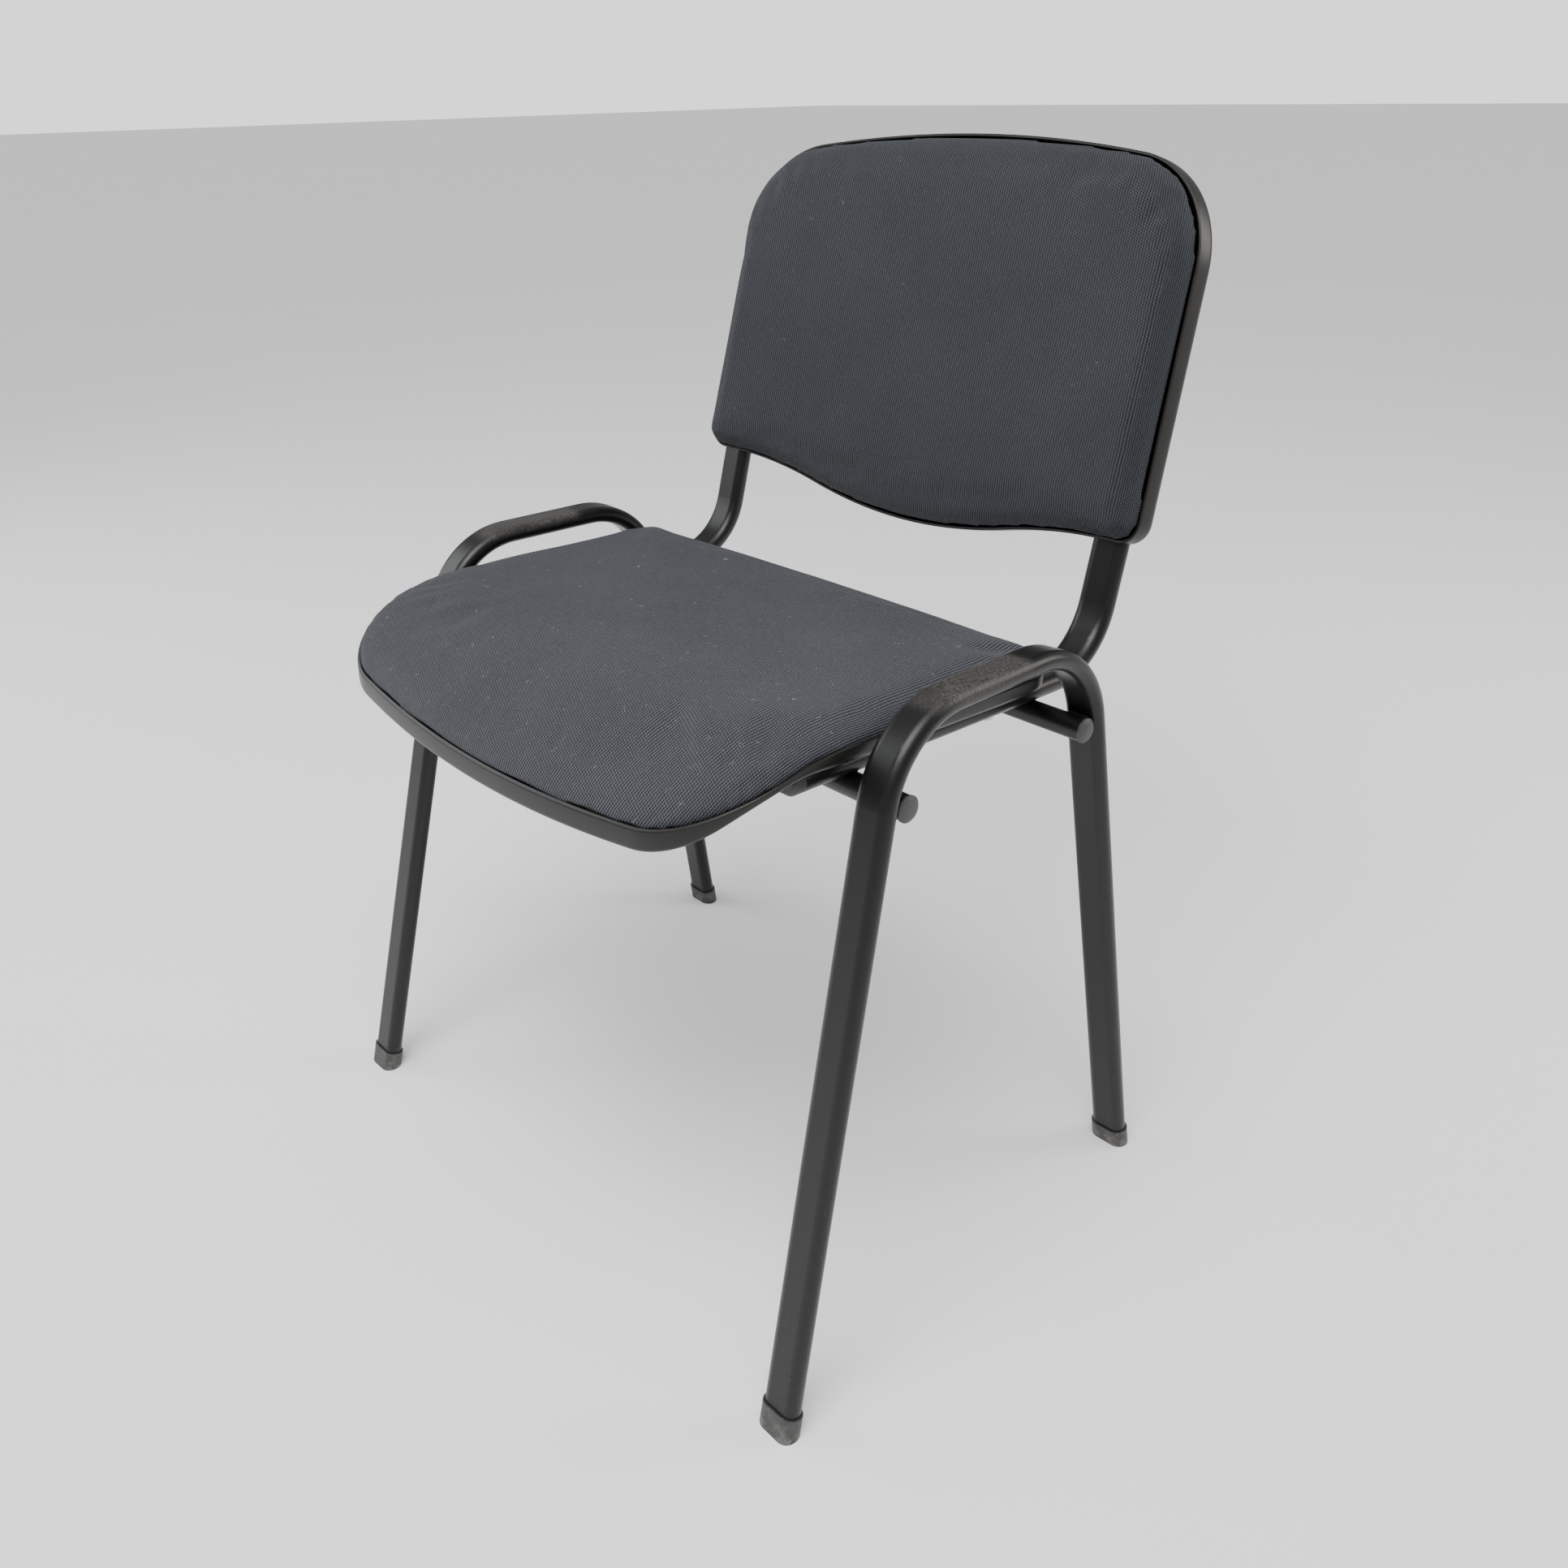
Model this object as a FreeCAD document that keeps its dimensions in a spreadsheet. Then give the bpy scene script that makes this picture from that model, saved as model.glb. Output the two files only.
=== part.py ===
"""Stacking chair: two flat-oval side frames, two cross tubes, two L-shaped
supports that carry an upholstered seat and back.

Millimetres, +Z up.  The sitter faces -Y and +X is the sitter's left.  The
origin lies on the floor, under the middle of the chair's outer box.
"""
import FreeCAD, Part
import math
import os
import Sketcher

DIMENSIONS = [
    # alias, value, what it is
    ("tube_width", 30.0, "flat-oval tube, long side"),
    ("tube_thickness", 15.0, "flat-oval tube, short side"),
    ("tube_wall", 1.5, "wall of every steel tube"),
    ("cross_diameter", 18.0, "round cross tubes"),
    ("weld_gap", 0.2, "gap between tubes that the weld bridges"),
    ("weld_radius", 2.0, "weld bead"),
    ("weld_length", 14.0, "weld bead, along X"),
    ("weld_groove", 1.517, "groove under a round tube where a bead lies"),
    # side frames, all on the tube's centreline with sharp corners
    ("rail_half_spacing", 257.0, "middle of the chair to a side rail"),
    ("foot_spread", 20.5, "a foot stands outside its side rail by this"),
    ("rail_front_y", -121.0, "front top corner"),
    ("rail_front_height", 499.5, "front top corner"),
    ("rail_rear_y", 81.5, "rear top corner"),
    ("rail_fall", 6.0, "rear top corner below the front one"),
    ("front_foot_y", -250.5, "front foot on the floor"),
    ("rear_foot_y", 156.0, "rear foot on the floor"),
    ("rail_bend", 72.0, "bend radius of the two top corners"),
    ("cross_below_rail", 58.5, "front cross tube's centre below the front top corner"),
    ("cross_reach", 13.0, "cross tube's end outside the side rail's centreline"),
    # feet, caps and plugs
    ("foot_wall", 1.6, "foot around the tube"),
    ("foot_sole", 3.5, "foot under the tube"),
    ("foot_height", 17.0, "foot along the leg"),
    ("cap_overhang", 0.5, "cross-tube cap past the tube, all round"),
    ("cap_rim", 1.5, "straight edge of the cap"),
    ("cap_dome", 3.0, "height of the cap's dome"),
    ("cap_flat", 2.0, "flat middle of the dome, radius"),
    ("plug_depth", 12.0, "spigot of a cap or plug inside its tube"),
    ("plug_length", 11.0, "support plug in front of its tube"),
    ("plug_rounding", 3.0, "rounded end of the support plug"),
    ("spigot_gap", 0.15, "spigot to tube, all round"),
    # supports
    ("support_inset", 43.0, "support inside the side rail"),
    ("support_overhang", 49.0, "support in front of the front cross tube"),
    ("support_run", 318.5, "support from its front end to the sharp corner"),
    ("support_bend", 62.0, "bend radius of the support"),
    ("upright_top", 54.2, "upright above the middle of the back"),
    ("seat_tilt", 3.8, "seat falls to the rear, degrees"),
    ("back_lean", 15.9, "back leans away from vertical, degrees"),
    # seat, measured in the tilted seat plane from the front cross tube
    ("seat_front", 151.0, "front edge, in front of the cross tube"),
    ("seat_rear", 205.0, "rear edge, behind the cross tube"),
    ("seat_side_gap", 1.5, "seat's rear corners to the inside of a side rail"),
    ("seat_taper", 10.2, "front corners inside the rear ones"),
    ("seat_front_bow", 19.5, "front edge bows forward by this"),
    ("seat_side_bow", 3.7, "side edges bow outward by this"),
    ("seat_rear_bow", 6.5, "rear edge bows backward by this"),
    ("seat_front_corner", 79.0, "corner radius"),
    ("seat_rear_corner", 32.0, "corner radius"),
    ("waterfall_start", 8.4, "in front of the cross tube"),
    ("waterfall_radius", 220.6, "bend of the pan's rim"),
    ("floor_start", 45.0, "bend of the pan's floor, in front of the cross tube"),
    ("floor_radius", 100.0, "bend of the pan's floor"),
    ("floor_slope", 39.5, "pan's floor in front of its bend, degrees"),
    ("channel_gap", 0.3, "channel in the pan's floor around a support"),
    ("pan_depth", 13.0, "pan from its floor to its rim"),
    ("pan_rounding", 6.0, "rounded lower edge of the pan"),
    ("pan_wall", 2.5, "plastic wall of the pan and the back shell"),
    ("seat_ply", 8.0, "plywood of the seat"),
    ("ply_shy", 0.6, "edge of the seat's plywood inside the cloth"),
    ("seat_crown", 12.5, "top of the seat above the pan's rim"),
    ("cushion_rounding", 11.0, "rounded upper edge of a cushion"),
    ("cover_gap", 0.2, "cover to plastic wall"),
    ("cover_thickness", 1.0, "upholstery cloth"),
    ("cover_hem", 24.0, "cloth turned under the plywood"),
    # back, measured in the leaning back plane from its middle
    ("back_rise", 240.8, "sharp corner to the middle of the back"),
    ("upright_front_gap", 0.55, "upright to the hem of the back cover"),
    ("back_curve", 1600.0, "radius of the rim, hollow towards the sitter"),
    ("back_top", 153.5, "top edge above the middle"),
    ("back_top_side", 22.0, "top corners outside the supports"),
    ("back_bottom_side", 28.0, "bottom corners outside the supports"),
    ("back_top_bow", 26.5, "top edge bows up by this"),
    ("back_bottom", 142.4, "bottom corners below the middle"),
    ("back_tongue", 26.0, "bottom edge hangs down by this"),
    ("tongue_margin", 24.0, "straight bottom edge beside each corner"),
    ("back_top_corner", 86.5, "corner radius"),
    ("back_bottom_corner", 18.0, "corner radius"),
    ("upright_rear_gap", 0.2, "upright to the inside of the shell"),
    ("shell_rounding", 9.0, "rounded rear edge of the shell"),
    ("shell_slot_gap", 0.8, "slot in the shell around an upright"),
    ("back_seat_gap", 0.3, "hem of the back cover in front of the rim"),
    ("back_ply", 6.0, "plywood of the back"),
    ("back_crown", 16.5, "front of the back in front of the rim"),
    # fasteners
    ("bolt_diameter", 6.0, "seat bolts and back screws"),
    ("bolt_clearance", 0.35, "hole around a bolt, all round"),
    ("bolt_front_row", 40.0, "front seat bolts behind the cross tube"),
    ("bolt_rear_row", 150.0, "rear seat bolts behind the cross tube"),
    ("bolt_head_across", 10.0, "hexagon head across flats"),
    ("bolt_head_height", 4.0, "hexagon head"),
    ("washer_diameter", 15.0, "seat bolt washer"),
    ("washer_thickness", 1.5, "seat bolt washer"),
    ("nut_flange", 18.0, "T-nut flange diameter"),
    ("nut_flange_thickness", 1.2, "T-nut flange"),
    ("nut_barrel", 8.0, "T-nut barrel diameter"),
    ("nut_gap", 0.15, "hole around a T-nut, all round"),
    ("nut_sink", 1.8, "seat T-nut's flange let into the plywood"),
    ("back_nut_sink", 2.4, "back T-nut's flange let into the curved plywood"),
    ("barrel_short", 0.6, "back T-nut's barrel ends before the plywood's rear face"),
    ("screw_upper", 30.0, "upper back screws above the back's middle"),
    ("screw_lower", 70.0, "lower back screws below the back's middle"),
    ("screw_head", 10.5, "back screw head diameter"),
    ("screw_head_height", 4.0, "back screw head"),
    ("access_hole", 12.5, "hole in the rear of the upright for the head"),
    ("clip_half_spacing", 120.0, "shell clips from the middle"),
    ("clip_height", 65.0, "shell clips above and below the middle"),
    ("clip_diameter", 7.0, "stem of a shell clip"),
    ("clip_barb", 0.7, "barb of a shell clip, all round"),
    ("clip_flange", 14.0, "flange diameter of a shell clip"),
    ("overrun", 12.0, "blank past a plane that trims it"),
]

LAYOUT = [
    # worked out from the driving dimensions
    ("foot_half_spacing", "dims.rail_half_spacing + dims.foot_spread"),
    ("rail_rear_height", "dims.rail_front_height - dims.rail_fall"),
    ("cross_height", "dims.rail_front_height - dims.cross_below_rail"),
    ("cross_half_length", "dims.rail_half_spacing + dims.cross_reach"),
    ("support_half_spacing", "dims.rail_half_spacing - dims.support_inset"),
    ("seat_rear_half_width", "dims.rail_half_spacing - dims.tube_width / 2 - dims.seat_side_gap"),
    ("seat_front_half_width", "layout.seat_rear_half_width - dims.seat_taper"),
    ("back_top_half_width", "layout.support_half_spacing + dims.back_top_side"),
    ("back_bottom_half_width", "layout.support_half_spacing + dims.back_bottom_side"),
    ("upright_length", "dims.back_rise + dims.upright_top"),
    ("weld_step", "sqrt(pow(dims.cross_diameter / 2; 2)"
                  " - pow(dims.cross_diameter / 2 - dims.weld_groove; 2))"),
    ("upright_flat", "(dims.tube_width - dims.tube_thickness) / 2"),
    ("inner_sag", "dims.back_curve - sqrt(pow(dims.back_curve; 2)"
                  " - pow(layout.support_half_spacing - layout.upright_flat; 2))"),
    ("outer_sag", "dims.back_curve - sqrt(pow(dims.back_curve; 2)"
                  " - pow(layout.support_half_spacing + layout.upright_flat; 2))"),
    ("back_setback", "layout.inner_sag + dims.back_seat_gap - dims.tube_thickness / 2"
                     " - dims.upright_front_gap"),
    ("shell_depth", "layout.outer_sag + dims.tube_thickness / 2 - layout.back_setback"
                    " + dims.upright_rear_gap + dims.pan_wall"),
    ("splay", "atan2(dims.foot_spread; dims.rail_front_height)"),
    ("front_lean", "atan2(dims.rail_front_y - dims.front_foot_y; "
                   "dims.rail_front_height / cos(layout.splay))"),
    ("rear_lean", "atan2(dims.rear_foot_y - dims.rail_rear_y; "
                  "layout.rail_rear_height / cos(layout.splay))"),
    ("front_slope", "(dims.rail_front_y - dims.front_foot_y) / dims.rail_front_height"),
    ("rear_slope", "(dims.rear_foot_y - dims.rail_rear_y) / layout.rail_rear_height"),
    ("leg_offset", "(dims.tube_thickness + dims.cross_diameter) / 2 + dims.weld_gap"),
    ("front_cross_y", "dims.front_foot_y + layout.cross_height * layout.front_slope"
                      " + layout.leg_offset / cos(layout.front_lean)"),
    ("cross_pitch", "(dims.rear_foot_y - layout.cross_height * layout.rear_slope"
                    " - layout.leg_offset / cos(layout.rear_lean) - layout.front_cross_y)"
                    " / (cos(dims.seat_tilt) - sin(dims.seat_tilt) * layout.rear_slope)"),
    ("rear_cross_y", "layout.front_cross_y + layout.cross_pitch * cos(dims.seat_tilt)"),
    ("rear_cross_height", "layout.cross_height - layout.cross_pitch * sin(dims.seat_tilt)"),
    ("cross_drop", "dims.tube_thickness + dims.weld_gap + dims.cross_diameter / 2"),
    ("seat_y", "layout.front_cross_y + layout.cross_drop * sin(dims.seat_tilt)"),
    ("seat_height", "layout.cross_height + layout.cross_drop * cos(dims.seat_tilt)"),
    ("lean_in_seat", "dims.back_lean - dims.seat_tilt"),
    ("corner_v", "dims.support_run - dims.support_overhang"),
    ("corner_y", "layout.seat_y + layout.corner_v * cos(dims.seat_tilt)"
                 " - dims.tube_thickness / 2 * sin(dims.seat_tilt)"),
    ("corner_height", "layout.seat_height - layout.corner_v * sin(dims.seat_tilt)"
                      " - dims.tube_thickness / 2 * cos(dims.seat_tilt)"),
    ("back_y", "layout.corner_y + dims.back_rise * sin(dims.back_lean)"
               " + layout.back_setback * cos(dims.back_lean)"),
    ("back_height", "layout.corner_height + dims.back_rise * cos(dims.back_lean)"
                    " - layout.back_setback * sin(dims.back_lean)"),
    ("ply_top", "dims.pan_wall + dims.cover_thickness + dims.seat_ply"),
    ("pad_inset", "dims.pan_wall + dims.cover_gap"),
    ("ply_inset", "layout.pad_inset + dims.cover_thickness"),
    ("back_ply_rear", "dims.back_seat_gap + dims.cover_thickness"),
    ("back_ply_front", "layout.back_ply_rear + dims.back_ply"),
    ("back_foam_rounding", "dims.back_crown - layout.back_ply_front - 1.5 * dims.cover_thickness"),
    ("screw_sag", "dims.back_curve - sqrt(pow(dims.back_curve; 2)"
                  " - pow(layout.support_half_spacing - dims.nut_flange / 2; 2))"),
    ("nut_seat", "layout.screw_sag + layout.back_ply_front - dims.back_nut_sink"),
    ("clip_sag", "dims.back_curve - sqrt(pow(dims.back_curve; 2) - pow(dims.clip_half_spacing; 2))"),
    ("clip_flat", "layout.shell_depth - dims.pan_wall - dims.clip_barb"),
    ("tongue_end", "layout.back_bottom_half_width - dims.tongue_margin"),
    ("tongue_radius", "(pow(layout.tongue_end / 2; 2) + pow(dims.back_tongue / 2; 2)) / dims.back_tongue"),
    ("tongue_quarter", "layout.tongue_radius"
                       " - sqrt(pow(layout.tongue_radius; 2) - pow(layout.tongue_end / 4; 2))"),
]

doc = FreeCAD.newDocument("stacking_chair")
sheet = doc.addObject("Spreadsheet::Sheet", "dims")
for row, (alias, number, meaning) in enumerate(DIMENSIONS, start=1):
    sheet.set(f"A{row}", meaning)
    sheet.set(f"B{row}", str(number))
    sheet.setAlias(f"B{row}", alias)
layout = doc.addObject("Spreadsheet::Sheet", "layout")
for row, (alias, formula) in enumerate(LAYOUT, start=1):
    layout.set(f"B{row}", "=" + formula)
    layout.setAlias(f"B{row}", alias)
doc.recompute()

X_AXIS = FreeCAD.Vector(1, 0, 0)
Y_AXIS = FreeCAD.Vector(0, 1, 0)
Z_AXIS = FreeCAD.Vector(0, 0, 1)
SIDES = (("left", 1), ("right", -1))
# how the tests for edges read a cosine between two directions, and a clear distance
PARALLEL = 0.999
FACING = 0.6
SIDEWAYS = 0.2
BESIDE = 1
parts = []


def value(expression):
    """The number that an expression over the two sheets gives."""
    return float(sheet.evalExpression(expression))


def keep(thing, node):
    """Name a finished sub-part; its label is its file's name."""
    thing.Label = node
    parts.append(thing)
    return thing


def place(thing, x="0", y="0", z="0", roll="0", pitch="0", yaw="0"):
    """Bind a placement: turns about X, then Y, then Z, then a shift."""
    vector = f"create(<<vector>>; {x}; {y}; {z})"
    turn = f"create(<<rotation>>; {yaw}; {pitch}; {roll})"
    thing.setExpression("Placement", f"create(<<placement>>; {vector}; {turn})")
    return thing


def place_in_seat(thing):
    """The seat's frame: X across, Y to the rear in the seat plane, Z out of it,
    from the supports' upper face above the front cross tube."""
    return place(thing, y="layout.seat_y", z="layout.seat_height", roll="-dims.seat_tilt")


def place_in_back(thing):
    """The back's frame: X across, Z up the back, Y to the rear, from the middle of its rim."""
    return place(thing, y="layout.back_y", z="layout.back_height", roll="-dims.back_lean")


# ---------------------------------------------------------------- sketches

def new_body(name):
    return doc.addObject("PartDesign::Body", name)


def new_sketch(body, role):
    """An empty sketch on one of the body's own origin planes."""
    sketch = body.newObject("Sketcher::SketchObject", body.Name + "_" + role[:2].lower())
    base = [plane for plane in body.Origin.OriginFeatures if plane.Role == role]
    sketch.AttachmentSupport = [(base[0], "")]
    sketch.MapMode = "FlatFace"
    return sketch


def bind(sketch, kind, elements, expression):
    """Add one dimension to a sketch and bind it to the sheet."""
    index = sketch.addConstraint(Sketcher.Constraint(kind, *elements, value(expression)))
    sketch.setExpression(f"Constraints[{index}]", expression)


def pin(sketch, geometry, vertex, point):
    """Bind a vertex to two coordinates, each an expression."""
    bind(sketch, "DistanceX", (-1, 1, geometry, vertex), point[0])
    bind(sketch, "DistanceY", (-1, 1, geometry, vertex), point[1])


def at(point):
    return FreeCAD.Vector(value(point[0]), value(point[1]), 0)


def closed(sketch, corners):
    """A closed outline.  A corner is (x, y), or (x, y, through) where the edge that
    leaves it is an arc through the point given."""
    count = len(corners)
    for index, corner in enumerate(corners):
        start = at(corner)
        end = at(corners[(index + 1) % count])
        if len(corner) == 2:
            sketch.addGeometry(Part.LineSegment(start, end))
        else:
            sketch.addGeometry(Part.Arc(start, at(corner[2]), end))
    for index, corner in enumerate(corners):
        # an arc's own first vertex may be its far end, so ends are matched by place
        here = vertex_at(sketch, index, at(corner))
        before = (index - 1) % count
        sketch.addConstraint(Sketcher.Constraint(
            "Coincident", before, vertex_at(sketch, before, at(corner)), index, here))
        pin(sketch, index, here, corner)
        if len(corner) == 3:
            mark = sketch.addGeometry(Part.Point(at(corner[2])), True)
            pin(sketch, mark, 1, corner[2])
            sketch.addConstraint(Sketcher.Constraint("PointOnObject", mark, 1, index))
    return sketch


def vertex_at(sketch, geometry, point):
    """1 or 2, whichever end of the geometry lies on the point."""
    first = sketch.getPoint(geometry, 1)
    second = sketch.getPoint(geometry, 2)
    return 1 if (first - point).Length < (second - point).Length else 2


def circles(sketch, centres, diameter):
    for centre in centres:
        radius = value(f"({diameter}) / 2")
        index = sketch.addGeometry(Part.Circle(at(centre), Z_AXIS, radius))
        pin(sketch, index, 3, centre)
        bind(sketch, "Diameter", (index,), diameter)
    return sketch


def flat_oval(sketch, width, thickness):
    """A flat-oval section about the origin: two straight sides and two half circles."""
    radius = value(f"({thickness}) / 2")
    reach = value(f"({width}) / 2") - radius
    sketch.addGeometry(Part.LineSegment(FreeCAD.Vector(-reach, -radius, 0), FreeCAD.Vector(reach, -radius, 0)))
    right = Part.Circle(FreeCAD.Vector(reach, 0, 0), Z_AXIS, radius)
    sketch.addGeometry(Part.ArcOfCircle(right, -math.pi / 2, math.pi / 2))
    sketch.addGeometry(Part.LineSegment(FreeCAD.Vector(reach, radius, 0), FreeCAD.Vector(-reach, radius, 0)))
    left = Part.Circle(FreeCAD.Vector(-reach, 0, 0), Z_AXIS, radius)
    sketch.addGeometry(Part.ArcOfCircle(left, math.pi / 2, 3 * math.pi / 2))
    for index in range(4):
        sketch.addConstraint(Sketcher.Constraint("Tangent", index, 2, (index + 1) % 4, 1))
    sketch.addConstraint(Sketcher.Constraint("Horizontal", 0))
    sketch.addConstraint(Sketcher.Constraint("Symmetric", 1, 3, 3, 3, -1, 1))
    sketch.addConstraint(Sketcher.Constraint("Equal", 1, 3))
    bind(sketch, "Radius", (1,), f"({thickness}) / 2")
    bind(sketch, "DistanceX", (0, 1, 0, 2), f"({width}) - ({thickness})")
    return sketch


def bent_path(sketch, corners, bend):
    """Straight runs between sharp corners, joined by tangent arcs of one radius.
    Construction lines carry the sharp corners, and the runs lie on them."""
    points = [at(corner) for corner in corners]
    radius = value(bend)
    guides = []
    for index in range(len(points) - 1):
        guides.append(sketch.addGeometry(Part.LineSegment(points[index], points[index + 1]), True))
        pin(sketch, guides[index], 1, corners[index])
    pin(sketch, guides[-1], 2, corners[-1])
    for index in range(1, len(guides)):
        sketch.addConstraint(Sketcher.Constraint("Coincident", guides[index - 1], 2, guides[index], 1))
    run_start = points[0]
    runs = []
    arcs = []
    for index in range(1, len(points) - 1):
        back = (points[index - 1] - points[index]).normalize()
        ahead = (points[index + 1] - points[index]).normalize()
        half = back.getAngle(ahead) / 2
        leave = points[index] + back * (radius / math.tan(half))
        join = points[index] + ahead * (radius / math.tan(half))
        middle = points[index] + (back + ahead).normalize() * (radius / math.sin(half) - radius)
        runs.append(sketch.addGeometry(Part.LineSegment(run_start, leave)))
        arcs.append((sketch.addGeometry(Part.Arc(leave, middle, join)), leave, join))
        run_start = join
    runs.append(sketch.addGeometry(Part.LineSegment(run_start, points[-1])))
    sketch.addConstraint(Sketcher.Constraint("Coincident", runs[0], 1, guides[0], 1))
    sketch.addConstraint(Sketcher.Constraint("Coincident", runs[-1], 2, guides[-1], 2))
    for index, (arc, leave, join) in enumerate(arcs):
        sketch.addConstraint(Sketcher.Constraint("PointOnObject", runs[index], 2, guides[index]))
        sketch.addConstraint(Sketcher.Constraint("PointOnObject", runs[index + 1], 1, guides[index + 1]))
        first = vertex_at(sketch, arc, leave)
        sketch.addConstraint(Sketcher.Constraint("Tangent", runs[index], 2, arc, first))
        sketch.addConstraint(Sketcher.Constraint("Tangent", arc, 3 - first, runs[index + 1], 1))
        bind(sketch, "Radius", (arc,), bend)
    return sketch


# ---------------------------------------------------------------- features

def pad(body, sketch, low, high):
    """Pad a sketch from low to high along its plane's own normal."""
    feature = body.newObject("PartDesign::Pad", body.Name + "_pad")
    feature.Profile = sketch
    feature.SideType = "Two sides"
    feature.setExpression("Length", high)
    feature.setExpression("Length2", f"-({low})")
    return feature


def pocket_all(body, sketch):
    """Cut a sketch through the whole body, both ways."""
    before = body.Tip
    doc.recompute()
    volume = before.Shape.Volume
    feature = body.newObject("PartDesign::Pocket", "pocket")
    feature.Profile = sketch
    feature.Type = "ThroughAll"
    feature.Midplane = True
    doc.recompute()
    if feature.Shape.Volume >= volume:
        raise RuntimeError(f"{body.Name}: a pocket cuts nothing")
    return feature


def round_edges(body, radius, chosen):
    """Fillet the edges of the body's tip that a test picks."""
    doc.recompute()
    base = body.Tip
    names = [f"Edge{index}" for index, edge in enumerate(base.Shape.Edges, start=1) if chosen(base.Shape, edge)]
    feature = body.newObject("PartDesign::Fillet", body.Name + "_fillet")
    feature.Base = (base, names)
    feature.setExpression("Radius", radius)
    doc.recompute()
    return feature


def along(edge, axis):
    """True for a straight edge along an axis."""
    ends = edge.Vertexes
    if len(ends) != 2 or not isinstance(edge.Curve, Part.Line):
        return False
    run = (ends[1].Point - ends[0].Point).normalize()
    return abs(run.dot(axis)) > PARALLEL


def face_normal(face):
    low_u, high_u, low_v, high_v = face.ParameterRange
    return face.normalAt((low_u + high_u) / 2, (low_v + high_v) / 2)


def rims_a_face(shape, edge, direction):
    """True for an edge between a face that looks along a direction and a side wall."""
    turns = [face_normal(face).dot(direction) for face in shape.ancestorsOfType(edge, Part.Face)]
    return len(turns) == 2 and max(turns) > FACING and abs(min(turns)) < SIDEWAYS


def tube(name, width, thickness, corners, bend, profile_role):
    """A bent flat-oval tube: the outer section swept, less the inner one."""
    body = new_body(name)
    route = bent_path(new_sketch(body, "YZ_Plane"), corners, bend)
    outer = flat_oval(new_sketch(body, profile_role), width, thickness)
    sweep = body.newObject("PartDesign::AdditivePipe", name + "_outer")
    sweep.Profile = (outer, [""])
    sweep.Spine = (route, [""])
    doc.recompute()
    wall = "2 * dims.tube_wall"
    inner = flat_oval(new_sketch(body, profile_role), f"{width} - {wall}", f"{thickness} - {wall}")
    bore = body.newObject("PartDesign::SubtractivePipe", name + "_bore")
    bore.Profile = (inner, [""])
    bore.Spine = (route, [""])
    doc.recompute()
    return body


def cylinder(name, diameter, length, x="0", y="0", z="0", roll="0", pitch="0"):
    """A cylinder along local Z from its placement."""
    solid = doc.addObject("Part::Cylinder", name)
    solid.setExpression("Radius", f"({diameter}) / 2")
    solid.setExpression("Height", length)
    return place(solid, x, y, z, roll, pitch)


def compound(name, members):
    group = doc.addObject("Part::Compound", name)
    group.Links = members
    return group


def cut(name, base, tool):
    feature = doc.addObject("Part::Cut", name)
    feature.Base = base
    feature.Tool = tool
    doc.recompute()
    if feature.Shape.Volume >= base.Shape.Volume:
        raise RuntimeError(f"{name}: the tool cuts nothing")
    return feature


def box(name, length, width, height, x, y, z):
    """A box along X, Y and Z from its lowest corner."""
    block = doc.addObject("Part::Box", name)
    block.setExpression("Length", length)
    block.setExpression("Width", width)
    block.setExpression("Height", height)
    return place(block, x, y, z)


def turned(name, profile):
    """A body of revolution about local Z from (radius, height) corners."""
    body = new_body(name)
    sketch = closed(new_sketch(body, "XZ_Plane"), profile)
    feature = body.newObject("PartDesign::Revolution", name + "_turn")
    feature.Profile = sketch
    feature.ReferenceAxis = (sketch, ["V_Axis"])
    feature.Angle = 360.0
    return body


# ---------------------------------------------------------------- steel frame

def below(name, height):
    """A wide block whose top is at a height, to trim legs and feet."""
    block = doc.addObject("Part::Box", name)
    block.setExpression("Length", "4 * layout.foot_half_spacing")
    block.setExpression("Width", "4 * layout.foot_half_spacing")
    block.setExpression("Height", "4 * dims.overrun")
    return place(block, "-2 * layout.foot_half_spacing", "-2 * layout.foot_half_spacing",
                 f"({height}) - 4 * dims.overrun")


def frame_point(y, height):
    """A point of the splayed side frame, in a frame whose Z runs up the front leg."""
    across = f"(({y}) - dims.front_foot_y)"
    up = f"(({height}) / cos(layout.splay))"
    return (f"{across} * cos(layout.front_lean) - {up} * sin(layout.front_lean)",
            f"{across} * sin(layout.front_lean) + {up} * cos(layout.front_lean) + dims.overrun")


def side_frame(side, sign):
    """An inverted U of flat-oval tube in a plane that leans outward to the floor."""
    past_floor = "dims.rear_foot_y + dims.overrun * sin(layout.rear_lean)"
    corners = [("0", "0"),
               frame_point("dims.rail_front_y", "dims.rail_front_height"),
               frame_point("dims.rail_rear_y", "layout.rail_rear_height"),
               frame_point(past_floor, "-dims.overrun * cos(layout.rear_lean)")]
    blank = tube(f"frame_blank_{side}", "dims.tube_width", "dims.tube_thickness", corners,
                 "dims.rail_bend", "XY_Plane")
    reach = "dims.overrun * sin(layout.splay) * cos(layout.front_lean)"
    place(blank, f"{sign} * (layout.foot_half_spacing + {reach})",
          "dims.front_foot_y - dims.overrun * sin(layout.front_lean)",
          "-dims.overrun * cos(layout.front_lean) * cos(layout.splay)",
          roll="-layout.front_lean", pitch=f"{-sign} * layout.splay")
    trim = below(f"frame_trim_{side}", "dims.foot_sole")
    return keep(cut(f"side_frame_{side}", blank, trim), f"side_frame_{side}")


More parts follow.
